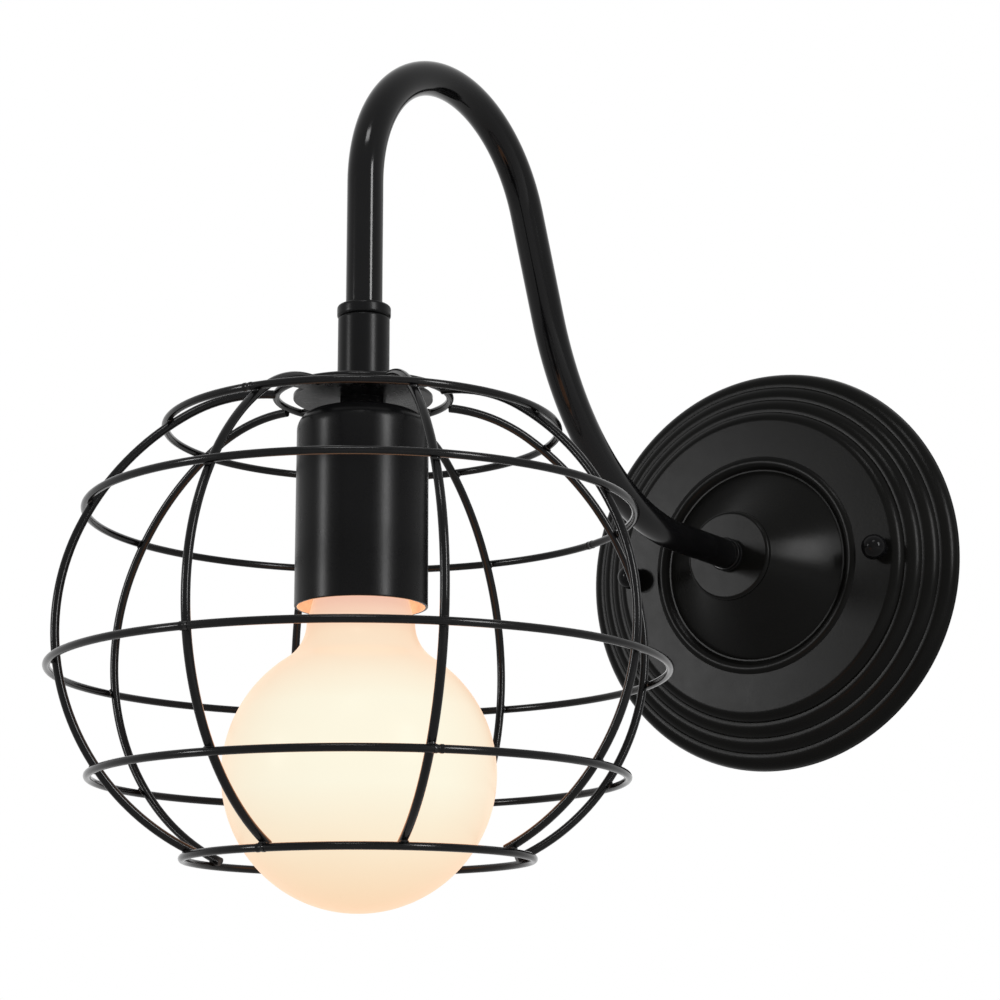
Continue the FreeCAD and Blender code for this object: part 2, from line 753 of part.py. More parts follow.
def cage_rings():
    cage_ring("cage_ring_top", "top_ring_radius", "top_ring_level")
    shoulder = ("shoulder_centre", "shoulder_centre_level", "shoulder_arc + ring_offset")
    side = ("side_centre", "side_centre_level", "side_arc + ring_offset")
    arcs = {"crown": shoulder, "shoulder": shoulder, "belt": side, "waist": side, "foot": side}
    for name, arc in arcs.items():
        radius, level = on_arc(*arc, "%s_ring_angle" % name)
        cage_ring("cage_ring_" + name, radius, level)


def cage_plate():
    """A disc on webs that reach the top ring, with open windows between them."""
    body = new_body("cage_plate")
    rim = "top_ring_radius - ring_wire_radius + web_bite"
    disc = draw_circles(body, "Disc", "XY_Plane", [("0", "0", rim), ("0", "0", "nipple_radius + slip_gap")])
    pad(body, disc, "cage_plate_height")
    first = "(web_first_angle + web_half_angle)"
    last = "(web_first_angle + 360 / web_count - web_half_angle)"
    outer = "top_ring_radius"
    inner = "cage_disc_radius"
    window = draw(body, "Window", "XY_Plane", [
        ("%s * cos(%s)" % (inner, first), "%s * sin(%s)" % (inner, first), inner),
        ("%s * cos(%s)" % (inner, last), "%s * sin(%s)" % (inner, last)),
        ("%s * cos(%s)" % (outer, last), "%s * sin(%s)" % (outer, last), "-" + outer),
        ("%s * cos(%s)" % (outer, first), "%s * sin(%s)" % (outer, first)),
    ])
    cut = cut_through(body, window, "WindowCut")
    pattern = body.newObject("PartDesign::PolarPattern", "Windows")
    pattern.Originals = [cut]
    pattern.Axis = (plane_of(body, "Z_Axis"), [""])
    pattern.Angle = 360
    pattern.Occurrences = int(number("web_count"))
    pattern.setExpression("Occurrences", bound("web_count"))
    body.Tip = pattern
    return on_lamp_axis(body, "plate_under")


def socket_cup():
    """A drawn steel cup with a round shoulder, open below."""
    bore = "nipple_radius + slip_gap"
    inner_round = "cup_roundness - cup_wall"
    return on_lamp_axis(turned("socket_cup", [
        ("cup_radius", "cup_mouth"),
        ("cup_radius", "cup_top - cup_roundness", "cup_roundness"),
        ("cup_radius - cup_roundness", "cup_top"),
        (bore, "cup_top"),
        (bore, "cup_top - cup_wall"),
        ("cup_radius - cup_roundness", "cup_top - cup_wall", "-(%s)" % inner_round),
        ("cup_radius - cup_wall", "cup_top - cup_roundness"),
        ("cup_radius - cup_wall", "cup_mouth"),
    ]))


def lampholder():
    """Cap, insert with its contacts, barrel and screw shell."""
    bore = "nipple_radius + thread_gap"
    inside = "holder_radius - holder_wall"
    roof = "holder_top - holder_roof"
    on_lamp_axis(turned("lampholder_cap", [
        ("holder_radius", "holder_seam"),
        ("holder_radius", "holder_top - (holder_radius - holder_top_radius)"),
        ("holder_top_radius", "holder_top"), (bore, "holder_top"), (bore, roof),
        ("holder_top_radius", roof),
        (inside, "%s - (%s - holder_top_radius)" % (roof, inside)),
        (inside, "holder_seam"),
    ]))
    insert_top = "holder_seam + insert_height"
    on_lamp_axis(ring_of("lampholder_insert", "contact_post_radius + thread_gap", "%s - slip_gap" % inside,
                         "holder_seam", insert_top))
    posts = [upright("Post" + word, "post_radius", "post_height", across, "reach", insert_top)
             for word, across in (("Right", "post_offset"), ("Left", "-post_offset"))]
    group("holder_terminals", posts)
    on_lamp_axis(ring_of("lampholder_barrel", "barrel_bore", "holder_radius", "barrel_mouth", "holder_seam"))
    shell_inner = "base_radius + running_gap"
    on_lamp_axis(ring_of("screw_shell", shell_inner, shell_inner + " + shell_sheet",
                         "barrel_mouth + shell_margin", "holder_seam - running_gap"))
    on_lamp_axis(turned("centre_contact", [
        ("0", "contact_level"), ("contact_radius", "contact_level"),
        ("contact_radius", "contact_level + contact_sheet"),
        ("contact_post_radius", "contact_level + contact_sheet"),
        ("contact_post_radius", insert_top), ("0", insert_top),
    ]))


def bulb_base():
    """Contact tip, black glass insulator and rolled screw shell."""
    on_lamp_axis(turned("bulb_contact", [
        ("0", "base_top"), ("tip_radius", "base_top"), ("tip_face_radius", "tip_level"),
        ("0", "tip_level"),
    ]))
    on_lamp_axis(turned("bulb_insulator", [
        ("0", "shell_top"), ("insulator_radius", "shell_top"), ("tip_radius", "base_top"), ("0", "base_top"),
    ]))
    thread_start = "shell_top - thread_lead_in"
    bend = "(thread_pitch ^ 2 / 4 + thread_depth ^ 2) / (2 * thread_depth)"
    turns = int(number("thread_turns"))
    outer = [("insulator_radius", "shell_top - running_gap")]
    for k in range(turns):
        outer.append(("thread_root", "%s - %d * thread_pitch" % (thread_start, k), "-(%s)" % bend))
    outer += [("thread_root", "%s - thread_turns * thread_pitch" % thread_start),
              ("base_radius", "%s - thread_turns * thread_pitch - thread_lead_in" % thread_start),
              ("base_radius", "base_foot")]
    inner = []
    back = list(reversed(outer))
    for index, step in enumerate(back):
        bent = index + 1 < len(back) and len(back[index + 1]) > 2
        inner.append(("%s - base_sheet" % step[0], step[1]) + (("(%s)" % bend,) if bent else ()))
    on_lamp_axis(turned("bulb_shell", outer + inner))


def bulb_glass():
    """Hollow opal glass: a neck that widens from the base and blends into the globe."""
    wall = "glass_wall"
    blend_out = "neck_blend_radius * blend_share"
    blend_up = "globe_level + neck_blend_rise * blend_share"
    inner_share = "(globe_radius - glass_wall) / (globe_radius + neck_roundness)"
    taper_foot = "base_foot - neck_taper"
    on_lamp_axis(turned("bulb_glass", [
        ("neck_top_radius", "base_foot + neck_insert"),
        ("neck_top_radius", "base_foot - slip_gap"),
        ("neck_mouth_radius", taper_foot),
        ("neck_radius", "neck_foot", "neck_roundness"),
        (blend_out, blend_up, "-globe_radius"),
        ("globe_radius", "globe_level", "-globe_radius"),
        ("0", "globe_level - globe_radius"),
        ("0", "globe_level - globe_radius + glass_wall", "globe_radius - glass_wall"),
        ("globe_radius - glass_wall", "globe_level", "globe_radius - glass_wall"),
        ("neck_blend_radius * " + inner_share, "globe_level + neck_blend_rise * " + inner_share,
         "-(neck_roundness + glass_wall)"),
        ("neck_radius - " + wall, "neck_foot"),
        ("neck_mouth_radius - " + wall, taper_foot),
        ("neck_top_radius - " + wall, "base_foot - slip_gap"),
        ("neck_top_radius - " + wall, "base_foot + neck_insert"),
    ]))


def bulb_inside():
    """The glass mount and the filament that it carries."""
    flare = "neck_top_radius - glass_wall - slip_gap"
    flare_foot = "base_foot + glass_wall"
    on_lamp_axis(turned("bulb_stem", [
        ("0", "stem_foot"), ("stem_radius", "stem_foot"), ("stem_radius", flare_foot), (flare, flare_foot),
        (flare, flare_foot + " + glass_wall"), ("0", flare_foot + " + glass_wall"),
    ]))
    foot = number("stem_foot")
    spread = number("filament_spread")
    knee = foot - number("filament_leg")
    low = foot - number("filament_drop")
    near = number("stem_radius") / 2
    half = [(near, foot), (near, knee), (spread, low)]
    behind = -number("reach")
    points = [FreeCAD.Vector(-x, behind, z) for x, z in half]
    points += [FreeCAD.Vector(x, behind, z) for x, z in reversed(half)]
    bends = [number("filament_bend")] * (len(points) - 2)
    bent_rod("bulb_filament", points, bends, number("filament_radius"))


def lamp_lead(label, side):
    """One core, from the lampholder's terminal through both nipples and the arm to the terminal block."""
    vector = FreeCAD.Vector
    across = side * number("lead_offset")
    reach = number("reach")
    lean = math.radians(number("arm_lean"))
    crown = number("crown_bend")
    rise = number("rise_bend")
    small = number("lead_bend")
    crown_corner = number("crown_level") + crown * math.tan((lean + math.pi / 2) / 2)
    rise_corner = number("rise_start") + rise * math.tan(lean / 2)
    inside = number("root_nipple_foot - lead_run")
    port = side * number("block_pitch")
    over = number("block_width / 2 + lead_run")
    port_out = number("port_height")
    points = [
        vector(side * number("post_offset - post_radius"), -reach, number("post_level")),
        vector(across, -reach, number("post_level")),
        vector(across, -reach, crown_corner),
        vector(across, -rise_corner, 0),
        vector(across, -inside, 0),
        vector(port, -inside, over),
        vector(port, -port_out, over),
        vector(port, -port_out, number("block_width / 4")),
    ]
    bends = [number("lead_terminal_bend"), crown, rise, small, small, small]
    bent_rod(label, points, bends, number("lead_radius"))


def terminal_block():
    """A three-way block on the bar: moulded body, brass inserts and their clamping screws."""
    body = new_body("terminal_block")
    half = "block_length / 2"
    deep = "block_width / 2"
    outline = [("-" + half, "-" + deep), (half, "-" + deep), (half, deep), ("-" + half, deep)]
    pad(body, draw(body, "Outline", "XZ_Plane", outline), "block_height")
    places = ["-block_pitch", "0", "block_pitch"]
    ports = [(place, "-port_level", "port_radius") for place in places]
    cut_through(body, draw_circles(body, "Ports", "XY_Plane", ports), "PortCut")
    screw_holes = [(place, side + "block_screw_inset", "block_screw_radius + slip_gap")
                   for place in places for side in ("", "-")]
    cut_through(body, draw_circles(body, "ScrewWells", "XZ_Plane", screw_holes), "ScrewWellCut")
    body.setExpression("Placement.Base.y", bound("-bar_front"))
    inserts = []
    screws = []
    outer = "port_radius - thread_gap"
    seat = "port_height + " + outer
    for number_of, place in enumerate(places):
        word = "Insert%d" % number_of
        low = "-block_width / 2 + running_gap"
        length = "block_width - 2 * running_gap"
        inserts.append(joined("Part::Cut", word,
                              upright(word + "Body", outer, length, place, "port_height", low),
                              upright(word + "Bore", "insert_bore", length, place, "port_height", low)))
        for side in ("", "-"):
            screw = cylinder("%sScrew%s" % (word, "B" if side else "A"), "block_screw_radius",
                             "bar_front + block_height - running_gap - (%s)" % seat, seat, place)
            screw.setExpression("Placement.Base.z", bound(side + "block_screw_inset"))
            screws.append(screw)
    group("terminal_inserts", inserts)
    group("terminal_screws", screws)


def earth_bond():
    """Earth screw in the bar, ring tag under its head, and the short lead to the block."""
    across = "earth_offset"
    head_out = "tag_front"
    face = "%s + earth_head_height - screw_slot_depth" % head_out
    head = slotted_head("Earth", "earth_head_radius", "earth_head_height", head_out, across, face)
    shank = cylinder("EarthShank", "earth_screw_radius", "tag_front - running_gap", "running_gap", across)
    screw = joined("Part::Fuse", "earth_screw", head, shank)
    screw.Label = "earth_screw"
    NODES.append(screw)
    ring = cylinder("TagRing", "tag_radius", "tag_sheet", "bar_front", across)
    barrel_out = "bar_front + tag_lift + tag_barrel_radius"
    top = "-(tag_radius - tag_sheet)"
    low = "%s - tag_barrel_length" % top
    barrel = upright("TagBarrel", "tag_barrel_radius", "tag_barrel_length", across, barrel_out, low)
    blank = joined("Part::Fuse", "TagBlank", ring, barrel)
    hole = cylinder("TagHole", "earth_screw_radius + slip_gap", "tag_sheet", "bar_front", across)
    bore = upright("TagBore", "tag_bore", "tag_barrel_length - tag_sheet", across, barrel_out, low)
    tag = joined("Part::Cut", "earth_tag", joined("Part::Cut", "TagRingDrilled", blank, hole), bore)
    tag.Label = "earth_tag"
    NODES.append(tag)
    vector = FreeCAD.Vector
    below = -number("block_width / 2 + lead_run")
    tag_out = number(barrel_out)
    port_out = number("port_height")
    side = number(across)
    small = number("lead_bend")
    points = [
        vector(0, -port_out, -number("block_width / 4")),
        vector(0, -port_out, below),
        vector(side, -tag_out, below),
        vector(side, -tag_out, number(low) + number("tag_barrel_length / 2")),
    ]
    bent_rod("earth_lead", points, [small, small], number("lead_radius"))


def save(parts_folder="parts"):
    """Checks every object, then writes one file for each sub-part."""
    doc.recompute()
    faults = [item.Name for item in doc.Objects if {"Invalid", "Error"} & set(item.State)]
    for node in NODES:
        if node.Shape.isNull() or not node.Shape.isValid():
            faults.append(node.Label)
    if faults:
        raise RuntimeError("failed objects: " + ", ".join(faults))
    os.makedirs(parts_folder, exist_ok=True)
    for node in NODES:
        node.Shape.exportStep(os.path.join(parts_folder, node.Label + ".step"))
    print("%d sub-parts written" % len(NODES))


wall_plate()
mounting_bar()
canopy_studs()
cap_nut("cap_nut_right", "stud_offset")
cap_nut("cap_nut_left", "-stud_offset")
root_fittings()
arm_tube()
head_fittings()
cage_plate()
cage_rings()
for rib in range(int(number("rib_count"))):
    cage_rib(rib)
socket_cup()
lampholder()
bulb_base()
bulb_glass()
bulb_inside()
lamp_lead("lead_live", 1)
lamp_lead("lead_neutral", -1)
terminal_block()
earth_bond()
save()
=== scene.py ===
import math
from collections import namedtuple
from functools import cache

import bmesh
import bpy
from bpy.types import NodeSocket, Operator, Panel, PropertyGroup
from mathutils import Matrix, Vector


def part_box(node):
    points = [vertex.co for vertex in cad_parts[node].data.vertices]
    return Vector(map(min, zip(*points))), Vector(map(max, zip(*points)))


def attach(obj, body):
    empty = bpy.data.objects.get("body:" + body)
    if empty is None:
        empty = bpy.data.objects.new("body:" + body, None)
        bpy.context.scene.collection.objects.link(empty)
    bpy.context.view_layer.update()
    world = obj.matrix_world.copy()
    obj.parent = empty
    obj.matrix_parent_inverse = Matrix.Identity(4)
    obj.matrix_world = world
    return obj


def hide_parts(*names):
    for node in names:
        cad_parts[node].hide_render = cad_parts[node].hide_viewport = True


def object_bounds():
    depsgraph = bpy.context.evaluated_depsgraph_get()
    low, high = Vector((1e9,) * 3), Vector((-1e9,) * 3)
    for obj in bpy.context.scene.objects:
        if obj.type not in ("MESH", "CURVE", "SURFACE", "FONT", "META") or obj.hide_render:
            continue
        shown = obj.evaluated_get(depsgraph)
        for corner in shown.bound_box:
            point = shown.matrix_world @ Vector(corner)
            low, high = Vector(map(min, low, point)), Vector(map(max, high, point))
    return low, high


bl_info = {
    "name": "Cage Wall Light",
    "version": (1, 0, 0),
    "blender": (4, 5, 0),
    "location": "3D View > Sidebar > Wall Light",
    "description": "Dresses a swan-neck cage wall light and sets its studio stage",
    "category": "Object",
}

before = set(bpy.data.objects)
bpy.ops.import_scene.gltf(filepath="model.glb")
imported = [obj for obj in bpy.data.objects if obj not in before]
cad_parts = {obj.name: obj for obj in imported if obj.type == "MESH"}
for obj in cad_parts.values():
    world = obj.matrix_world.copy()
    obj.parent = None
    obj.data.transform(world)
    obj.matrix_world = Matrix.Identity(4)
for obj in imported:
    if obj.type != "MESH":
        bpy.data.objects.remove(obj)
CAD_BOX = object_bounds()

MM = 0.001
SAME_PLACE = MM / 1000       # vertices closer than this are one
ON_CUT = MM / 10000          # how near to a cutting plane a vertex is left alone
AT_LEVEL = MM / 100          # how near to a level an edge counts as lying on it
FIXTURE = "fixture"


def centre_of(node):
    low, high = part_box(node)
    return (low + high) / 2


def extent_of(node):
    low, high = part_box(node)
    return high - low


REACH = -centre_of("cage_ring_belt").y
PLATE_SIZE = extent_of("wall_plate")
GLOBE_SIZE = extent_of("bulb_glass")


# ---------------------------------------------------------------- settings

def kind_of(prop, scale=None, **facts):
    """A kind of setting, given by its name, its default and its description."""
    def setting(name, default, description):
        value = default * scale if scale else default
        return prop(name=name, default=value, description=description, **facts)
    return setting


length = kind_of(bpy.props.FloatProperty, MM, unit="LENGTH", precision=5)              # in millimetres
angle = kind_of(bpy.props.FloatProperty, math.radians(1), subtype="ANGLE")             # in degrees
share = kind_of(bpy.props.FloatProperty, min=0.0, max=1.0)
number = kind_of(bpy.props.FloatProperty)
count = kind_of(bpy.props.IntProperty, min=1)
colour = kind_of(bpy.props.FloatVectorProperty, size=3, subtype="COLOR", min=0.0, max=1.0)
point = kind_of(bpy.props.FloatVectorProperty, size=3, subtype="TRANSLATION", unit="LENGTH")


class FinishSettings(PropertyGroup):
    paint: colour("Paint", (0.0027, 0.0027, 0.0029), "Satin coat on the cup and sleeve")
    gloss_paint: colour("Gloss paint", (0.0025, 0.0025, 0.0027), "Gloss coat on the arm, wires and nuts")
    plate_paint: colour("Plate paint", (0.0025, 0.0025, 0.0023), "Coat on the wall plate")
    satin_roughness: share("Satin roughness", 0.28, "Sheen of the satin coat")
    plate_roughness: share("Plate roughness", 0.26, "Sheen of the wall plate")
    nut_roughness: share("Nut roughness", 0.13, "Sheen of the ball nuts and the collar")
    arm_roughness: share("Arm roughness", 0.11, "Sheen of the arm")
    wire_roughness: share("Wire roughness", 0.16, "Sheen of the wires")
    bare_steel: colour("Bare steel", (0.58, 0.58, 0.6), "Zinc plated steel behind the plate")
    brass: colour("Brass", (0.66, 0.47, 0.2), "Contacts and terminals")
    porcelain: colour("Porcelain", (0.8, 0.78, 0.72), "Glazed lampholder")
    cup_lining: colour("Cup lining", (0.55, 0.5, 0.46), "Bare inside of the socket cup")
    aluminium: colour("Bulb shell", (0.72, 0.72, 0.71), "Rolled screw shell of the bulb")
    filament: colour("Filament", (0.3, 0.28, 0.26), "Drawn wire in the bulb")


class GlowSettings(PropertyGroup):
    core: colour("Core", (0.91, 0.865, 0.7), "Glow in the middle of the globe")
    low: colour("Low end", (0.91, 0.68, 0.45), "Glow of the globe's underside")
    rim: colour("Rim", (0.85, 0.5, 0.3), "Glow at the edge of the glass")
    neck: colour("Neck", (0.88, 0.66, 0.47), "Glow where the neck starts")
    mouth: colour("Mouth", (0.82, 0.5, 0.4), "Glow of the neck inside the cup")
    strength: number("Strength", 1.0, "Glow as it is seen")
    cast: colour("Cast", (1.0, 0.5, 0.27), "Warm light on the globe's neighbours")
    cast_strength: number("Cast strength", 3.0, "Strength of that light")
    glass: colour("Glass", (0.06, 0.053, 0.045), "The glass under its glow")
    pale_glass: colour("Pale glass", (0.075, 0.065, 0.053), "Paler clouds in it")
    rim_blend: share("Rim blend", 0.35, "How far the rim's glow reaches in")
    rim_power: number("Rim power", 1.8, "How fast it fades")
    low_share: share("Low share", 0.42, "Where the underside's glow ends, up the globe")
    neck_share: share("Neck share", 0.72, "Where the neck's glow starts, up the globe")
    neck_gap: length("Neck gap", 6.0, "Where it is full, below the cup")
    mouth_gap: length("Mouth gap", 10.0, "Where the mouth's glow starts, below the cup")
    mouth_reach: length("Mouth reach", 2.0, "Where it is full, inside the cup")


class PlateSettings(PropertyGroup):
    rim_height: length("Rim height", 1.8, "Straight rim on the wall")
    rim_inset: length("Rim inset", 0.5, "How far the rim leans in")
    ridge_count: count("Ridges", 3, "Rounded ridges round the flank")
    ridge_width: length("Ridge width", 6.2, "Width of one ridge")
    ridge_rise: length("Ridge rise", 3.3, "Rise from ridge to ridge")
    ridge_roundness: length("Ridge roundness", 5.6, "Radius of a ridge's crown")
    shoulder_width: length("Shoulder width", 4.2, "Rounded edge of the flat ring")
    shoulder_roundness: length("Shoulder roundness", 4.6, "Radius of that edge")
    face_height: length("Face height", 15.2, "Flat ring's height over the wall")
    bead_radius: length("Bead radius", 46.4, "Outside of the bead round the cone")
    bead_width: length("Bead width", 4.6, "Width of the bead")
    bead_roundness: length("Bead roundness", 3.4, "Radius of its crown")
    groove_width: length("Groove width", 1.6, "Groove between bead and cone")
    groove_slope: length("Groove slope", 1.0, "Run of its outer side")
    groove_depth: length("Groove depth", 0.8, "Depth of the groove")
    end_radius: length("Cone end radius", 17.5, "Flat end of the cone")
    end_run: length("End edge run", 1.2, "Width of its rounded edge")
    end_drop: length("End edge drop", 1.9, "Height of that edge")
    end_roundness: length("End edge roundness", 1.7, "Radius of that edge")
    flare: length("Cone flare", 150.0, "Radius of the cone's hollow side")
    sheet: length("Sheet", 1.0, "Thickness of the spun steel")
    sheet_shift: length("Sheet shift", 0.6, "How far in the inside lies")
    bore: length("Bore", 5.1, "Hole for the nipple")
    nut_neck: share("Nut neck", 0.73, "Neck of a ball nut, as a share of its ball")
    nut_bore: share("Nut bore", 0.39, "Bore of the nut, as a share of the ball")
    nut_roof: share("Nut roof", 0.7, "Metal over the bore, as a share of the ball")


class ArmSettings(PropertyGroup):
    radius: length("Tube radius", 6.0, "Outside of the arm")
    rise_bend: length("Rise bend", 102.9, "Radius of the long lower bend")
    crown_bend: length("Crown bend", 52.2, "Radius of the bend at the top")
    height: length("Crown height", 134.8, "Centre line's highest point")
    lean: angle("Lean", 68.6, "Slope of the straight leg")
    sleeve_edge: length("Sleeve edge", 0.5, "Chamfer of the sleeve")
    sleeve_bend: length("Sleeve bend", 0.6, "Radius that softens it")
    cap_roundness: length("Cap roundness", 1.0, "Rounded edges of the sleeve's cap")
    slip: length("Slip", 0.1, "Clearance of the loose pieces on the tube")
    end_gap: length("End gap", 4.8, "From the sleeve's foot to the tube's end")
    washer_bore: length("Washer bore", 5.1, "Hole of the washer")
    washer_edge: length("Washer edge", 0.25, "Its rounded edge")
    collar_edge: length("Collar edge", 0.25, "Rounded edges of the collar at the plate")
    collar_waist: length("Collar waist", 0.35, "Depth of the groove round it")
    collar_land: length("Collar land", 1.2, "Width of its first band")
    collar_slope: length("Collar slope", 0.3, "Run of the groove's sides")
    collar_groove: length("Collar groove", 0.5, "Flat width of the groove")


class CageSettings(PropertyGroup):
    rib_radius: length("Rib wire", 1.4, "Radius of the upright wires")
    side_arc: length("Side arc", 74.85, "Radius of their side")
    shoulder_arc: length("Shoulder arc", 90.0, "Radius of their shoulder")
    crown_arc: length("Crown arc", 52.0, "Radius of their crown")
    side_end: angle("Side end", 23.85, "Where the side turns into the shoulder")
    shoulder_end: angle("Shoulder end", 57.1, "Where the shoulder turns into the crown")
    tail: angle("Tail", -66.2, "Where the wires end, below the foot ring")
    rib_count: count("Ribs", 8, "Upright wires")
    first_rib: angle("First rib", 5.2, "Turn of the first one")
    butt: length("Butt", 1.0, "Its start outside the top ring's line")
    seat_drop: length("Seat drop", 1.1, "Its start below the top ring's line")
    weld_bite: length("Weld bite", 0.3, "How far rings and ribs sink into each other")
    weld_radius: length("Weld radius", 1.0, "Size of a weld mark")
    weld_thin: number("Weld thickness", 0.8, "Its share across the wires")
    weld_wide: number("Weld width", 1.75, "Its share along the ring")
    weld_tall: number("Weld height", 1.55, "Its share along the upright wire")
    weld_vary: share("Weld variation", 0.14, "How much the marks differ")
    seam_length: length("Seam length", 3.2, "Length of a ring's butt weld")
    seam_swell: length("Seam swell", 0.14, "How far it stands out of the wire")
    seam_foot: share("Seam foot", 0.9, "Its ends, as a share of the wire")
    seam_groove: share("Seam groove", 0.97, "The line in its middle, as a share of the wire")


class CupSettings(PropertyGroup):
    roundness: length("Shoulder", 6.0, "Radius of the cup's top edge")
    wall: length("Wall", 1.0, "Thickness of its steel")
    bore: length("Bore", 5.1, "Hole for the nipple")
    lip: length("Lip", 0.25, "Rounding of its mouth")


class BulbSettings(PropertyGroup):
    neck_radius: length("Neck radius", 17.2, "Glass where the neck meets the globe")
    neck_roundness: length("Neck roundness", 14.0, "Radius of the blend into the globe")
    mouth_radius: length("Mouth radius", 15.2, "Glass below the screw shell")
    taper: length("Taper", 8.6, "Glass from the shell to the mouth radius")
    wall: length("Glass", 0.8, "Thickness of the glass")
    thread_depth: length("Thread depth", 0.9, "Depth of the rolled thread")
    thread_pitch: length("Thread pitch", 3.63, "Rise of one turn")
    thread_turns: count("Thread turns", 4, "Turns of the thread")
    thread_lead: length("Thread lead", 1.0, "Height over which it runs out")
    shell_top: length("Shell top", 11.4, "Radius of the shell's rolled-in top")
    shell_sheet: length("Shell sheet", 0.3, "Thickness of the shell")
    neck_top: length("Neck top", 12.8, "Glass inside the shell")


class StageSettings(PropertyGroup):
    camera_place: point("Camera place", (0.4393, -0.8952, -0.1965), "Where the camera stands")
    camera_turn: angle("Camera turn", 32.757, "Turn of the camera about the vertical")
    camera_tilt: angle("Camera tilt", 12.942, "How far it looks up")
    camera_roll: angle("Camera roll", -0.188, "Its roll")
    lens: number("Lens", 85.37, "Focal length in millimetres")
    sensor: number("Sensor", 36.0, "Width of the sensor in millimetres")
    room_light: share("Room light", 0.22, "Plain light from all sides")
    floor_gap: length("Floor gap", 140.0, "Room under the light's lowest point")
    floor_half: length("Floor half", 6000.0, "Half the floor's side")
    floor_near: length("Floor near", 500.0, "Up to here the floor shows its shadow most")
    floor_far: length("Floor far", 2500.0, "From here on it melts into the background")
    floor_tone: share("Floor tone", 0.8, "Its tone for the light that it throws back")
    floor_seen: share("Seen tone", 0.7, "Its tone as the camera sees it")
    floor_own_near: share("Near glow", 0.5, "Its own white near the light")
    floor_own_far: share("Far glow", 0.86, "Its own white far off")


SETTINGS = {
    "finish": FinishSettings,
    "glow": GlowSettings,
    "plate": PlateSettings,
    "arm": ArmSettings,
    "cage": CageSettings,
    "cup": CupSettings,
    "bulb": BulbSettings,
    "stage": StageSettings,
}


def settings(name):
    return getattr(bpy.context.scene, "wall_light_" + name)


# ---------------------------------------------------------------- shapes

EDGE_MARGIN = 0.4 * MM       # edge wear stays within this of an edge
PLATE_STEPS = 192            # facets round each kind of turned piece
CUP_STEPS = 160
GLOBE_STEPS = 128
TURNED_STEPS = 96
NUT_STEPS = 64
THREAD_STEPS = 64


def is_vert(item):
    return isinstance(item, bmesh.types.BMVert)


def is_edge(item):
    return isinstance(item, bmesh.types.BMEdge)


def grow(mesh, edges):
    """Extrudes a rim, and gives the new vertices and the new rim."""
    grown = bmesh.ops.extrude_edge_only(mesh, edges=edges)["geom"]
    verts = [item for item in grown if is_vert(item)]
    return verts, [item for item in grown if is_edge(item) and all(vert in verts for vert in item.verts)]


def spin_round(mesh, steps):
    """Spins a line or a circle once round Z into a closed surface."""
    bmesh.ops.spin(mesh, geom=mesh.verts[:] + mesh.edges[:], cent=(0, 0, 0), axis=(0, 0, 1), angle=math.tau,
                   steps=steps, use_merge=True, use_duplicate=False)
    bmesh.ops.remove_doubles(mesh, verts=mesh.verts[:], dist=SAME_PLACE)
    bmesh.ops.recalc_face_normals(mesh, faces=mesh.faces[:])
    return mesh


class Outline:
    """A line drawn in the XZ plane from place to place, then spun round Z into a turned piece."""

    def __init__(self, radius, height):
        self.mesh = bmesh.new()
        place = Vector((radius, 0, height))
        self.first = self.tip = bmesh.ops.create_vert(self.mesh, co=place)["vert"][0]

    def line(self, radius, height):
        """A straight stretch; a long one gets a loop near each end, so that edge wear stays at the edge."""
        whole = Vector((radius, 0, height)) - self.tip.co
        near = whole.normalized() * EDGE_MARGIN
        moves = [near, whole - 2 * near, near] if whole.length > 4 * EDGE_MARGIN else [whole]
        for move in moves:
            self.tip = bmesh.ops.extrude_vert_indiv(self.mesh, verts=[self.tip])["verts"][0]
            bmesh.ops.translate(self.mesh, verts=[self.tip], vec=move)
        return self

    def arc(self, radius, height, bend, steps=6):
        """A round stretch with a signed radius: positive turns left."""
        start = self.tip.co.copy()
        end = Vector((radius, 0, height))
        chord = end - start
        half = chord.length / 2
        rise = math.sqrt(max(bend * bend - half * half, 0))
        left = Vector((-chord.z, 0, chord.x)).normalized()
        side = math.copysign(1, bend)
        centre = (start + end) / 2 + left * rise * side
        turn = 2 * math.asin(min(half / abs(bend), 1))
        grown = bmesh.ops.spin(self.mesh, geom=[self.tip], cent=centre, axis=(0, -side, 0), angle=turn,
                               steps=steps, use_duplicate=False)
        self.tip = next(item for item in grown["geom_last"] if is_vert(item))
        return self

    def stretch(self, radius, height, bend, steps):
        return self.arc(radius, height, bend, steps) if bend else self.line(radius, height)

    def close(self):
        bmesh.ops.contextual_create(self.mesh, geom=[self.tip, self.first])
        return self

    def spin(self, steps):
        return spin_round(self.mesh, steps)


class Wire:
    """A round wire that starts as a circle and grows along straight runs and bends."""

    def __init__(self, start, heading, radius, sides):
        self.mesh = bmesh.new()
        turn = Vector((0, 0, 1)).rotation_difference(Vector(heading))
        place = Matrix.Translation(start) @ turn.to_matrix().to_4x4()
        bmesh.ops.create_circle(self.mesh, cap_ends=True, segments=sides, radius=radius, matrix=place)
        self.edges = self.mesh.edges[:]

    def run(self, move, steps=4):
        for _ in range(steps):
            verts, self.edges = grow(self.mesh, self.edges)
            bmesh.ops.translate(self.mesh, verts=verts, vec=Vector(move) / steps)

    def bend(self, centre, axis, turn, steps):
        grown = bmesh.ops.spin(self.mesh, geom=self.edges, cent=centre, axis=axis, angle=turn, steps=steps,
                               use_duplicate=False)
        self.edges = [item for item in grown["geom_last"] if is_edge(item)]

    def end(self):
        bmesh.ops.contextual_create(self.mesh, geom=self.edges)
        bmesh.ops.recalc_face_normals(self.mesh, faces=self.mesh.faces[:])
        return self.mesh


QUARTER_ABOUT_X = Matrix.Rotation(math.radians(90), 4, "X")


def turned(radians):
    return Matrix.Rotation(radians, 4, "Z")


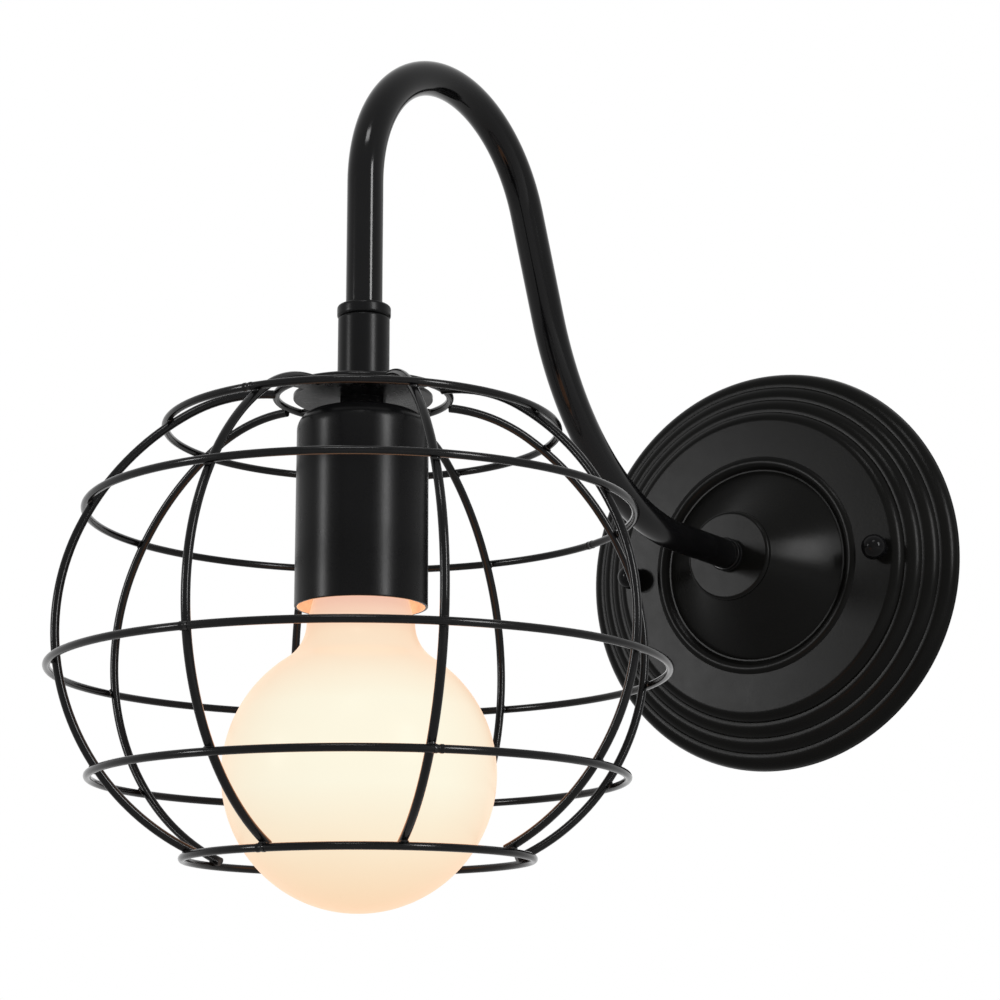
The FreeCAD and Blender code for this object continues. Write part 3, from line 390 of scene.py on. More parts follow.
def on_wall(out, across=0.0):
    """Places a piece turned round Z so that it points out of the wall."""
    return Matrix.Translation((across, -out, 0)) @ QUARTER_ABOUT_X


def on_lamp(level=0.0):
    return Matrix.Translation((0, -REACH, level))


def add_piece(name, mesh, place, finishes, node=None, body=FIXTURE, sharp=35.0):
    """Makes the object, with its place in its mesh, hangs it on the body that it rides on, and hides the
    frame's node that it stands for.
    """
    bmesh.ops.transform(mesh, matrix=place, verts=mesh.verts[:])
    for face in mesh.faces:
        face.smooth = True
    data = bpy.data.meshes.new(name)
    mesh.to_mesh(data)
    mesh.free()
    data.set_sharp_from_angle(angle=math.radians(sharp))
    for look in finishes:
        data.materials.append(finish(look))
    piece = bpy.data.objects.new(name, data)
    bpy.context.scene.collection.objects.link(piece)
    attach(piece, body)
    if node:
        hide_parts(node)


# ---------------------------------------------------------------- materials

class Tree:
    """A short way to add nodes and to join them."""

    def __init__(self, tree):
        self.tree = tree

    def fill(self, sockets, values):
        """Joins each named socket to another socket, or sets its value."""
        for name, value in values.items():
            if isinstance(value, NodeSocket):
                self.tree.links.new(value, sockets[name])
            else:
                sockets[name].default_value = value

    def add(self, kind, values=None, **facts):
        """A shader node of this kind, with its values by socket and its facts by name."""
        node = self.tree.nodes.new("ShaderNode" + kind)
        for name, value in facts.items():
            setattr(node, name, value)
        self.fill(node.inputs, values or {})
        return node

    def math(self, operation, first, second=0.5, clamp=False):
        node = self.add("Math", {0: first, 1: second}, operation=operation, use_clamp=clamp)
        return node.outputs[0]

    def vector(self, operation, values):
        return self.add("VectorMath", values, operation=operation).outputs

    def mix(self, factor, first, second):
        return self.add("Mix", {0: factor, 6: first, 7: second}, data_type="RGBA").outputs[2]

    def place(self):
        return self.add("TexCoord").outputs["Object"]

    def noise(self, place, scale, detail=3.0, roughness=0.55):
        return self.add("TexNoise", {"Vector": place, "Scale": scale, "Detail": detail,
                                               "Roughness": roughness}).outputs["Fac"]

    def span(self, value, low, high, to_low=0.0, to_high=1.0):
        return self.add("MapRange", {"Value": value, "From Min": low, "From Max": high,
                                               "To Min": to_low, "To Max": to_high}).outputs["Result"]

    def bump(self, height, depth, strength=1.0):
        return self.add("Bump", {"Height": height, "Distance": depth,
                                           "Strength": strength}).outputs["Normal"]

    def seen(self):
        """One for the rays that meet the white background: camera, glossy and transmission rays."""
        path = self.add("LightPath").outputs
        return self.math("MAXIMUM", path["Is Camera Ray"],
                         self.math("MAXIMUM", path["Is Glossy Ray"], path["Is Transmission Ray"]))


def rgba(values):
    return tuple(values) + (1.0,)


WORN_METAL = (0.16, 0.155, 0.15, 1)
DUST_TONE = (0.42, 0.4, 0.37, 1)
DARK_PAINT = (0.01, 0.01, 0.01, 1)
LINES_ROUND_Z = (60.0, 60.0, 1500.0)
LINES_ROUND_X = (900.0, 40.0, 40.0)
NO_LINES = (900.0, 900.0, 900.0)


def new_group(name, inputs, outputs):
    """A shader group whose inputs have the default values given; its Color output is the only colour."""
    tree = Tree(bpy.data.node_groups.new(name, "ShaderNodeTree"))
    new_socket = tree.tree.interface.new_socket
    for label, default in inputs.items():
        kind = "Float" if isinstance(default, float) else "Color" if len(default) == 4 else "Vector"
        new_socket(name=label, in_out="INPUT", socket_type="NodeSocket" + kind).default_value = default
    for label in outputs:
        kind = "Color" if label == "Color" else "Float"
        new_socket(name=label, in_out="OUTPUT", socket_type="NodeSocket" + kind)
    given, put = (tree.tree.nodes.new("NodeGroup" + side) for side in ("Input", "Output"))
    return tree, given.outputs, put.inputs


@cache
def coat_group():
    """Powder coat or lacquer: fine orange peel, a cloudy sheen and a slightly uneven colour."""
    tree, given, put = new_group(
        "Coat Texture", {"Paint": DARK_PAINT, "Roughness": 0.4, "Peel Scale": 900.0, "Cloud": 0.06},
        ("Color", "Roughness", "Height"))
    place = tree.place()
    peel = tree.noise(place, given["Peel Scale"], detail=2.0)
    cloud = tree.noise(place, 22.0, detail=4.0)
    grime = tree.noise(place, 140.0, detail=5.0, roughness=0.7)
    swing = tree.math("MULTIPLY", tree.math("SUBTRACT", cloud, 0.5), given["Cloud"])
    fine = tree.math("MULTIPLY", tree.math("SUBTRACT", grime, 0.5), 0.08)
    rough = tree.math("ADD", tree.math("ADD", given["Roughness"], swing), fine, clamp=True)
    tone = tree.span(cloud, 0.3, 0.7, 0.75, 1.3)
    lit = tree.vector("SCALE", {0: given["Paint"], "Scale": tone})[0]
    tree.fill(put, {"Color": lit, "Roughness": rough, "Height": peel})
    return tree.tree


@cache
def wear_group():
    """Rubbed edges and settled dust: pale flecks along edges, and a thin film on faces that look up."""
    tree, given, put = new_group(
        "Edge Wear", {"Color": DARK_PAINT, "Roughness": 0.4, "Wear": 0.3, "Dust": 0.02},
        ("Color", "Roughness"))
    place = tree.place()
    shape = tree.add("NewGeometry").outputs
    edge = tree.span(shape["Pointiness"], 0.53, 0.62)
    flecks = tree.span(tree.noise(place, 420.0, detail=6.0, roughness=0.75), 0.5, 0.62)
    rubbed = tree.math("MULTIPLY", tree.math("MULTIPLY", edge, flecks), given["Wear"], clamp=True)
    up = tree.span(tree.add("SeparateXYZ", {0: shape["Normal"]}).outputs["Z"], 0.5, 1.0)
    film = tree.span(tree.noise(place, 60.0, detail=5.0, roughness=0.7), 0.35, 0.7, 0.3, 1.0)
    dusty = tree.math("MULTIPLY", tree.math("MULTIPLY", up, film), given["Dust"], clamp=True)
    worn = tree.mix(rubbed, given["Color"], WORN_METAL)
    rough = tree.math("ADD", given["Roughness"], tree.math("MULTIPLY", dusty, 0.8), clamp=True)
    tree.fill(put, {"Color": tree.mix(dusty, worn, DUST_TONE), "Roughness": rough})
    return tree.tree


@cache
def drawn_group():
    """Turned or drawn metal: fine lines round one axis, and cloudy tarnish."""
    tree, given, put = new_group(
        "Drawn Metal", {"Metal": (0.6, 0.6, 0.6, 1), "Tarnish": (0.3, 0.25, 0.2, 1), "Roughness": 0.3,
                        "Line Scale": LINES_ROUND_Z}, ("Color", "Roughness", "Height"))
    place = tree.place()
    stretched = tree.vector("MULTIPLY", {0: place, 1: given["Line Scale"]})[0]
    lines = tree.noise(stretched, 1.0, detail=2.0)
    cloud = tree.noise(place, 90.0, detail=5.0, roughness=0.65)
    stain = tree.span(cloud, 0.45, 0.75, 0.0, 0.55)
    rough = tree.math("ADD", given["Roughness"], tree.math("MULTIPLY", lines, 0.16), clamp=True)
    tree.fill(put, {"Color": tree.mix(stain, given["Metal"], given["Tarnish"]), "Roughness": rough,
                    "Height": lines})
    return tree.tree


def placed(tree, group, values):
    """One of the shared groups, with its own values."""
    return tree.add("Group", values, node_tree=group).outputs


Coat = namedtuple("Coat", "paint roughness peel_scale peel_depth cloud wear index")
Metal = namedtuple("Metal", "colour tarnish roughness line_scale")
Moulded = namedtuple("Moulded", "colour darker roughness grain glaze", defaults=(0.0,))

SETTLED_DUST = 0.003
COAT_SPECULAR = 1.0
LINE_DEPTH = GRAIN_DEPTH = 0.01 * MM
LINE_BUMP, GRAIN_BUMP = 0.4, 0.5
GLAZE_ROUGHNESS = 0.1
GLASS_SPECULAR = 0.04


@cache
def looks():
    """Every coat, metal and moulded finish by its name."""
    own = settings("finish")
    return {
        "Satin Black": Coat(own.paint, own.satin_roughness, 1400.0, 0.01 * MM, 0.06, 0.2, 1.12),
        "Plate Black": Coat(own.plate_paint, own.plate_roughness, 1200.0, 0.012 * MM, 0.08, 0.25, 1.09),
        "Arm Black": Coat(own.gloss_paint, own.arm_roughness, 1400.0, 0.006 * MM, 0.05, 0.2, 1.15),
        "Wire Black": Coat(own.gloss_paint, own.wire_roughness, 1800.0, 0.01 * MM, 0.06, 0.2, 1.15),
        "Gloss Black": Coat(own.gloss_paint, own.nut_roughness, 1200.0, 0.004 * MM, 0.04, 0.1, 1.1),
        "Zinc Plate": Metal(own.bare_steel, (0.36, 0.34, 0.31), 0.3, LINES_ROUND_X),
        "Turned Brass": Metal(own.brass, (0.3, 0.17, 0.06), 0.24, LINES_ROUND_Z),
        "Rolled Aluminium": Metal(own.aluminium, (0.45, 0.43, 0.4), 0.26, LINES_ROUND_Z),
        "Drawn Wire": Metal(own.filament, (0.12, 0.1, 0.09), 0.45, NO_LINES),
        "Glazed Porcelain": Moulded(own.porcelain, [part * 0.85 for part in own.porcelain], 0.22, 500.0, 0.7),
        "Cup Lining": Moulded(own.cup_lining, [part * 0.6 for part in own.cup_lining], 0.42, 700.0),
        "Black Base Glass": Moulded((0.012, 0.012, 0.014), (0.03, 0.03, 0.032), 0.15, 400.0),
        "Pale Block": Moulded((0.72, 0.7, 0.64), (0.6, 0.58, 0.52), 0.45, 900.0),
        "Brown Sheath": Moulded((0.16, 0.06, 0.025), (0.11, 0.04, 0.02), 0.4, 900.0),
        "Blue Sheath": Moulded((0.02, 0.1, 0.42), (0.015, 0.07, 0.3), 0.4, 900.0),
        "Green Sheath": Moulded((0.06, 0.32, 0.05), (0.55, 0.5, 0.03), 0.4, 900.0),
    }


def coated(tree, look):
    """Black coat on steel, with its texture and wear; its low index keeps edges seen aslant dark."""
    coat = placed(tree, coat_group(), {"Paint": rgba(look.paint), "Roughness": look.roughness,
                                       "Peel Scale": look.peel_scale, "Cloud": look.cloud})
    worn = placed(tree, wear_group(), {"Color": coat["Color"], "Roughness": coat["Roughness"],
                                       "Wear": look.wear, "Dust": SETTLED_DUST})
    return {"Base Color": worn["Color"], "Roughness": worn["Roughness"], "IOR": look.index,
            "Specular IOR Level": COAT_SPECULAR, "Normal": tree.bump(coat["Height"], look.peel_depth)}


def bare(tree, look):
    """Bare metal with drawn lines and tarnish."""
    drawn = placed(tree, drawn_group(), {"Metal": rgba(look.colour), "Tarnish": rgba(look.tarnish),
                                         "Roughness": look.roughness, "Line Scale": look.line_scale})
    return {"Base Color": drawn["Color"], "Roughness": drawn["Roughness"], "Metallic": 1.0,
            "Normal": tree.bump(drawn["Height"], LINE_DEPTH, LINE_BUMP)}


def moulded(tree, look):
    """Moulded or glazed material: two close tones in soft clouds, and a fine grain."""
    place = tree.place()
    cloud = tree.span(tree.noise(place, 70.0, detail=5.0, roughness=0.6), 0.4, 0.75)
    fine = tree.noise(place, look.grain, detail=2.0)
    return {
        "Base Color": tree.mix(cloud, rgba(look.colour), rgba(look.darker)),
        "Roughness": tree.span(fine, 0.2, 0.8, look.roughness - 0.05, look.roughness + 0.1),
        "Coat Weight": look.glaze,
        "Coat Roughness": GLAZE_ROUGHNESS,
        "Normal": tree.bump(fine, GRAIN_DEPTH, GRAIN_BUMP),
    }


def opal(tree):
    """Lit opal glass: cream in the middle, peach at the rim and towards the neck."""
    glow = settings("glow")
    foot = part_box("bulb_glass")[0].z
    globe = GLOBE_SIZE.x
    cup_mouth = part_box("socket_cup")[0].z
    place = tree.place()
    level = tree.add("SeparateXYZ", {0: place}).outputs["Z"]
    near_low = tree.span(level, foot + globe * glow.low_share, foot)
    near_neck = tree.span(level, foot + globe * glow.neck_share, cup_mouth - glow.neck_gap)
    near_mouth = tree.span(level, cup_mouth - glow.mouth_gap, cup_mouth + glow.mouth_reach)
    at_rim = tree.add("LayerWeight", {"Blend": glow.rim_blend}).outputs["Facing"]
    cloud = tree.span(tree.noise(place, 14.0), 0.3, 0.7, -0.05, 0.05)
    rim = tree.math("ADD", tree.math("POWER", at_rim, glow.rim_power), cloud, clamp=True)
    tint = tree.mix(near_low, rgba(glow.core), rgba(glow.low))
    for amount, tone in ((near_neck, glow.neck), (near_mouth, glow.mouth), (rim, glow.rim)):
        tint = tree.mix(amount, tint, rgba(tone))
    eye = tree.add("LightPath").outputs["Is Camera Ray"]
    cast = rgba(glow.cast_strength * part for part in glow.cast)
    return {
        "Base Color": tree.mix(cloud, rgba(glow.glass), rgba(glow.pale_glass)),
        "Roughness": tree.span(tree.noise(place, 300.0), 0.2, 0.8, 0.26, 0.36),
        "Specular IOR Level": GLASS_SPECULAR,
        "Emission Color": tree.mix(eye, cast, tint),
        "Emission Strength": glow.strength,
    }


def clear(tree):
    """Clear glass of the bulb's mount."""
    place = tree.place()
    return {
        "Base Color": tree.mix(tree.noise(place, 120.0), (0.9, 0.92, 0.9, 1), (0.97, 0.98, 0.97, 1)),
        "Roughness": tree.span(tree.noise(place, 300.0), 0.2, 0.8, 0.02, 0.08),
        "Transmission Weight": 1.0,
        "IOR": 1.5,
    }


def new_material(name):
    material = bpy.data.materials.new(name)
    material.use_nodes = True
    return material, Tree(material.node_tree), material.node_tree.nodes["Principled BSDF"]


@cache
def finish(name):
    """The material of this name, made the first time that it is asked for."""
    material, tree, shader = new_material(name)
    glasses = {"Lit Opal Glass": opal, "Clear Glass": clear}
    if name in glasses:
        values = glasses[name](tree)
    else:
        look = looks()[name]
        values = {Coat: coated, Metal: bare, Moulded: moulded}[type(look)](tree, look)
    tree.fill(shader.inputs, values)
    return material


# ---------------------------------------------------------------- pieces

def make_wall_plate():
    """Spun steel dish: ridged flank, flat ring, bead, groove and cone; the same line back is its inside."""
    cut = settings("plate")
    rim = PLATE_SIZE.x / 2
    depth = PLATE_SIZE.y
    start = rim - cut.rim_inset
    ridges = [(start - k * cut.ridge_width, cut.rim_height + k * cut.ridge_rise)
              for k in range(cut.ridge_count + 1)]
    bead_inner = cut.bead_radius - cut.bead_width
    groove_level = cut.face_height - cut.groove_depth
    # Each stretch: its end's radius and height, its bend and the bend's steps.
    stretches = [(rim, 0, 0, 0), (*ridges[0], 0, 0)]
    stretches += [(*ridge, cut.ridge_roundness, 8) for ridge in ridges[1:]]
    stretches += [
        (ridges[-1][0] - cut.shoulder_width, cut.face_height, cut.shoulder_roundness, 8),
        (cut.bead_radius, cut.face_height, 0, 0),
        (bead_inner, cut.face_height, cut.bead_roundness, 8),
        (bead_inner - cut.groove_slope, groove_level, 0, 0),
        (bead_inner - cut.groove_width, groove_level, 0, 0),
        (cut.end_radius + cut.end_run, depth - cut.end_drop, -cut.flare, 14),
        (cut.end_radius, depth, cut.end_roundness, 6),
        (cut.bore, depth, 0, 0),
    ]
    shape = Outline(rim, 0)
    for stretch in stretches[1:]:
        shape.stretch(*stretch)
    shape.line(cut.bore, depth - cut.sheet)
    for (radius, level, _, _), (_, _, bend, steps) in zip(stretches[-2::-1], stretches[::-1]):
        shape.stretch(radius - cut.sheet_shift, max(level - cut.sheet, 0), -bend, steps)
    shape.close()
    add_piece("spun_wall_plate", shape.spin(PLATE_STEPS), on_wall(0), ["Plate Black"], "wall_plate")


def make_cap_nuts():
    """Ball nuts on short necks, blind above their bore."""
    cut = settings("plate")
    for side in ("right", "left"):
        node = "cap_nut_" + side
        low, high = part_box(node)
        ball = (high.x - low.x) / 2
        neck, bore = ball * cut.nut_neck, ball * cut.nut_bore
        tall = high.y - low.y
        roof = tall - ball * cut.nut_roof
        shape = Outline(bore, 0).line(neck, 0).line(neck, tall - ball - math.sqrt(ball * ball - neck * neck))
        shape.arc(ball, tall - ball, ball, 8).arc(0, tall, ball, 14)
        shape.line(0, roof).line(bore, roof).close()
        add_piece("ball_nut_" + side, shape.spin(NUT_STEPS), on_wall(-high.y, centre_of(node).x),
                  ["Gloss Black"], node, node)


def make_arm():
    """The tube: out of the plate, up a long bend and a straight leg, and over the crown bend."""
    cut = settings("arm")
    depth, lean = PLATE_SIZE.y, cut.lean
    leg = (cut.height - cut.crown_bend - cut.rise_bend * (1 - math.cos(lean))
           + cut.crown_bend * math.cos(lean)) / math.sin(lean)
    bends = (cut.rise_bend + cut.crown_bend) * math.sin(lean)
    rise_start = REACH - cut.crown_bend - bends - leg * math.cos(lean)
    crown_level = cut.height - cut.crown_bend
    foot_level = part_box("arm_sleeve")[0].z + cut.end_gap
    tube = Wire((0, -depth, 0), (0, -1, 0), cut.radius, sides=48)
    tube.run((0, depth - rise_start, 0))
    tube.bend((0, -rise_start, cut.rise_bend), (-1, 0, 0), lean, 40)
    tube.run((0, -leg * math.cos(lean), leg * math.sin(lean)))
    tube.bend((0, cut.crown_bend - REACH, crown_level), (1, 0, 0), lean + math.radians(90), 64)
    tube.run((0, 0, foot_level - crown_level))
    add_piece("swan_neck_tube", tube.end(), Matrix(), ["Arm Black"], "arm_tube")


def make_arm_fittings():
    """The turned sleeve, cap and washer at the arm's end, with rounded outer edges."""
    cut = settings("arm")
    tube = cut.radius + cut.slip
    for name, node, bore, edge, bend, steps in (
            ("arm_end_sleeve", "arm_sleeve", tube, cut.sleeve_edge, cut.sleeve_bend, 3),
            ("loose_sleeve_cap", "sleeve_cap", tube, cut.cap_roundness, cut.cap_roundness, 5),
            ("head_washer", "sleeve_washer", cut.washer_bore, cut.washer_edge, cut.washer_edge, 3)):
        size = extent_of(node)
        radius = size.x / 2
        shape = Outline(bore, 0).line(radius - edge, 0).arc(radius, edge, bend, steps)
        shape.line(radius, size.z - edge).arc(radius - edge, size.z, bend, steps).line(bore, size.z).close()
        add_piece(name, shape.spin(TURNED_STEPS), on_lamp(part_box(node)[0].z), ["Satin Black"], node)


def make_root_collar():
    """Two polished bands with a groove between them, where the arm leaves the cone."""
    cut = settings("arm")
    size = extent_of("root_collar")
    radius, tall = size.x / 2, size.y
    bore = cut.radius + cut.slip
    waist, edge, land = radius - cut.collar_waist, cut.collar_edge, cut.collar_land
    start = land + cut.collar_slope
    end = start + cut.collar_groove
    after = end + cut.collar_slope
    shape = Outline(bore, 0).line(radius, 0).line(radius, land - edge)
    shape.arc(radius - edge, land, edge, 3).line(waist, start).line(waist, end)
    shape.line(radius - edge, after).arc(radius, after + edge, edge, 3).line(radius, tall - 2 * edge)
    shape.arc(radius - 2 * edge, tall, 2 * edge, 4).line(bore, tall).close()
    place = on_wall(-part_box("root_collar")[1].y)
    add_piece("grooved_root_collar", shape.spin(TURNED_STEPS), place, ["Gloss Black"], "root_collar")


def crossing(first, first_reach, second, second_reach):
    """Where two circles in the XZ plane cross, on the side nearer the axis."""
    gap = second - first
    along = (first_reach ** 2 - second_reach ** 2 + gap.length_squared) / (2 * gap.length)
    aside = math.sqrt(first_reach ** 2 - along ** 2)
    ahead = gap.normalized()
    left = Vector((-ahead.z, 0, ahead.x)) * aside
    places = (first + ahead * along + left, first + ahead * along - left)
    return min(places, key=lambda place: place.x)


def heading(turn):
    """The direction in the XZ plane that lies at this angle over the X axis."""
    return Vector((math.cos(turn), 0, math.sin(turn)))


def ring_line(name):
    """A ring's centre line as a point in the XZ plane, and its wire's radius."""
    node = "cage_ring_" + name
    size = extent_of(node)
    wire = size.z / 2
    return Vector((size.x / 2 - wire, 0, centre_of(node).z)), wire


class Meridian:
    """Where the cage's upright wires run: the centres of three tangent arcs in the XZ plane."""

    def __init__(self):
        cut = settings("cage")
        self.start = ring_line("top")[0] + Vector((cut.butt, 0, -cut.seat_drop))
        belt, belt_wire = ring_line("belt")
        touching = belt_wire + cut.rib_radius - cut.weld_bite
        to_shoulder = heading(cut.side_end) * (cut.side_arc - cut.shoulder_arc)
        to_crown = to_shoulder + heading(cut.shoulder_end) * (cut.shoulder_arc - cut.crown_arc)
        self.side = crossing(belt, cut.side_arc + touching, self.start - to_crown, cut.crown_arc)
        self.shoulder = self.side + to_shoulder
        self.crown = self.side + to_crown


def rib_turns():
    cut = settings("cage")
    return [turned(cut.first_rib + k * math.tau / cut.rib_count) for k in range(cut.rib_count)]


def make_ribs(lines):
    """The upright wires, with square ends."""
    cut = settings("cage")
    spoke = lines.start - lines.crown
    first = math.atan2(spoke.z, spoke.x)
    for k, turn in enumerate(rib_turns(), 1):
        wire = Wire(lines.start, (math.sin(first), 0, -math.cos(first)), cut.rib_radius, sides=18)
        wire.bend(lines.crown, (0, 1, 0), first - cut.shoulder_end, 12)
        wire.bend(lines.shoulder, (0, 1, 0), cut.shoulder_end - cut.side_end, 18)
        wire.bend(lines.side, (0, 1, 0), cut.side_end - cut.tail, 48)
        add_piece("upright_wire_%d" % k, wire.end(), on_lamp() @ turn, ["Wire Black"], "cage_rib_%d" % k)


RINGS = ("top", "crown", "shoulder", "belt", "waist", "foot")
MARK_PHASE, RING_PHASE = 2.3, 5.0      # spread the weld marks' sizes along a ring and from ring to ring


def make_rings():
    """The six wire rings of the cage."""
    for name in RINGS:
        line, wire = ring_line(name)
        mesh = bmesh.new()
        place = Matrix.Translation((line.x, 0, 0)) @ QUARTER_ABOUT_X
        bmesh.ops.create_circle(mesh, segments=16, radius=wire, matrix=place)
        spin_round(mesh, CUP_STEPS)
        add_piece("wire_ring_" + name, mesh, on_lamp(line.z), ["Wire Black"], "cage_ring_" + name)


def make_weld_marks(lines):
    """Small fused spots where each upright wire crosses a ring, one piece for each ring."""
    cut = settings("cage")
    for name in RINGS[1:]:
        ring, wire = ring_line(name)
        arc = lines.shoulder if name in ("crown", "shoulder") else lines.side
        inward = (arc - ring).normalized()
        spot = ring + inward * (wire - cut.weld_bite / 2)
        tilt = (-inward).rotation_difference(Vector((1, 0, 0))).inverted().to_matrix().to_4x4()
        mesh = bmesh.new()
        for k, turn in enumerate(rib_turns()):
            swell = 1 + cut.weld_vary * math.sin(MARK_PHASE * k + RING_PHASE * ring.z / cut.weld_radius)
            scale = Matrix.Diagonal((cut.weld_thin, cut.weld_wide * swell, cut.weld_tall / swell, 1))
            place = turn @ Matrix.Translation(spot) @ tilt @ scale
            bmesh.ops.create_icosphere(mesh, subdivisions=2, radius=cut.weld_radius, matrix=place)
        add_piece("weld_marks_" + name, mesh, on_lamp(), ["Wire Black"])


# Where each ring's ends meet, in degrees round the lamp's axis.
SEAMS = {"crown": -87.0, "shoulder": 64.0, "belt": -84.2, "waist": -38.6, "foot": -85.2}


def make_ring_seams():
    """The swollen butt weld where each ring's ends meet: two beads with a fine groove between them."""
    cut = settings("cage")
    step = cut.seam_length / 4
    for name, turn in SEAMS.items():
        ring, wire = ring_line(name)
        foot, groove, swell = wire * cut.seam_foot, wire * cut.seam_groove, wire + cut.seam_swell
        stations = ((swell, 0), (swell, step), (groove, step / 2), (groove, step / 2), (swell, step / 2),
                    (swell, step), (foot, 0))
        mesh = bmesh.new()
        bmesh.ops.create_circle(mesh, cap_ends=True, segments=18, radius=foot)
        edges = mesh.edges[:]
        for radius, move in stations:
            verts, edges = grow(mesh, edges)
            wider = radius / verts[0].co.xy.length
            bmesh.ops.scale(mesh, verts=verts, vec=(wider, wider, 1))
            bmesh.ops.translate(mesh, verts=verts, vec=(0, 0, move))
        bmesh.ops.contextual_create(mesh, geom=edges)
        bmesh.ops.recalc_face_normals(mesh, faces=mesh.faces[:])
        middle = Matrix.Translation((0, 0, -sum(move for radius, move in stations) / 2))
        place = turned(math.radians(turn)) @ Matrix.Translation(ring) @ QUARTER_ABOUT_X @ middle
        add_piece("ring_seam_" + name, mesh, on_lamp() @ place, ["Wire Black"])


LOOKS_IN = -0.3              # a face whose normal points in by this much belongs to the lining
LOOKS_DOWN = -0.5            # so does one under the roof that points down by this much


def make_cup():
    """Drawn steel cup with a round shoulder and a rolled lip; its inside is left bare."""
    cut = settings("cup")
    low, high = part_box("socket_cup")
    mouth, top = low.z, high.z
    radius = (high.x - low.x) / 2
    inner = radius - cut.wall
    lip = cut.lip
    shape = Outline(radius, mouth + lip).line(radius, top - cut.roundness)
    shape.arc(radius - cut.roundness, top, cut.roundness, 12)
    shape.line(cut.bore, top).line(cut.bore, top - cut.wall).line(radius - cut.roundness, top - cut.wall)
    shape.arc(inner, top - cut.roundness, -(cut.roundness - cut.wall), 12)
    shape.line(inner, mouth + lip).arc(inner + lip, mouth, lip, 4).line(radius - lip, mouth)
    shape.arc(radius, mouth + lip, lip, 4).close()
    mesh = shape.spin(CUP_STEPS)
    for face in mesh.faces:
        middle = face.calc_center_median()
        outward = Vector((middle.x, middle.y, 0)).normalized()
        roof = face.normal.z < LOOKS_DOWN and middle.z > mouth + cut.roundness
        face.material_index = 1 if face.normal.dot(outward) < LOOKS_IN or roof else 0
    add_piece("drawn_socket_cup", mesh, on_lamp(), ["Satin Black", "Cup Lining"], "socket_cup")


def make_screw_shell():
    """Rolled shell of the bulb: one wave of the thread swept up a helix, cut level, with drawn ends."""
    cut = settings("bulb")
    low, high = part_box("bulb_shell")
    wide = (high.x - low.x) / 2
    root = wide - cut.thread_depth
    start = high.z - cut.thread_lead
    foot = start - cut.thread_turns * cut.thread_pitch
    bend = (cut.thread_pitch ** 2 / 4 + cut.thread_depth ** 2) / (2 * cut.thread_depth)
    mesh = Outline(root, foot).arc(root, foot - cut.thread_pitch, -bend, 8).mesh
    turns = cut.thread_turns + 1
    bmesh.ops.spin(mesh, geom=mesh.verts[:] + mesh.edges[:], cent=(0, 0, 0), axis=(0, 0, 1),
                   dvec=(0, 0, cut.thread_pitch / THREAD_STEPS), angle=math.tau * turns,
                   steps=THREAD_STEPS * turns, use_duplicate=False)
    bmesh.ops.remove_doubles(mesh, verts=mesh.verts[:], dist=SAME_PLACE)
    for level, side in ((foot, -1), (start, 1)):
        bmesh.ops.bisect_plane(mesh, geom=mesh.verts[:] + mesh.edges[:] + mesh.faces[:], dist=ON_CUT,
                               plane_co=(0, 0, level), plane_no=(0, 0, side), clear_outer=True)
    for level, ends in ((foot, ((foot - cut.thread_lead, wide), (low.z, wide))),
                        (start, ((high.z, cut.shell_top),))):
        edges = [edge for edge in mesh.edges
                 if edge.is_boundary and all(abs(vert.co.z - level) < AT_LEVEL for vert in edge.verts)]
        for height, radius in ends:
            verts, edges = grow(mesh, edges)
            for vert in verts:
                flat = Vector((vert.co.x, vert.co.y, 0))
                move = flat.normalized() * (radius - flat.length) + Vector((0, 0, height - vert.co.z))
                bmesh.ops.translate(mesh, verts=[vert], vec=move)
    bmesh.ops.recalc_face_normals(mesh, faces=mesh.faces[:])
    bmesh.ops.solidify(mesh, geom=mesh.faces[:], thickness=cut.shell_sheet)
    bmesh.ops.recalc_face_normals(mesh, faces=mesh.faces[:])
    add_piece("rolled_screw_base", mesh, on_lamp(), ["Rolled Aluminium"], "bulb_shell", "bulb",
              sharp=50.0)


def make_globe():
    """Opal globe with its neck, as a hollow blown glass."""
    cut = settings("bulb")
    low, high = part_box("bulb_glass")
    globe = GLOBE_SIZE.x / 2
    centre = low.z + globe
    shell_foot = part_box("bulb_shell")[0].z
    whole = globe + cut.neck_roundness
    blend = cut.neck_radius + cut.neck_roundness
    rise = math.sqrt(whole ** 2 - blend ** 2)
    part = globe / whole
    hollow = globe - cut.wall
    inner = hollow / whole
    top = cut.neck_top
    shape = Outline(top, high.z).line(top, shell_foot).line(cut.mouth_radius, shell_foot - cut.taper)
    shape.line(cut.neck_radius, centre + rise)
    shape.arc(blend * part, centre + rise * part, cut.neck_roundness, 10)
    shape.arc(globe, centre, -globe, 24).arc(0, centre - globe, -globe, 40)
    shape.line(0, centre - globe + cut.wall).arc(hollow, centre, hollow, 40)
    shape.arc(blend * inner, centre + rise * inner, hollow, 24)
    shape.arc(cut.neck_radius - cut.wall, centre + rise, -(cut.neck_roundness + cut.wall), 10)
    shape.line(cut.mouth_radius - cut.wall, shell_foot - cut.taper).line(top - cut.wall, shell_foot)
    shape.line(top - cut.wall, high.z).close()
    add_piece("opal_globe", shape.spin(GLOBE_STEPS), on_lamp(), ["Lit Opal Glass"], "bulb_glass",
              "bulb")


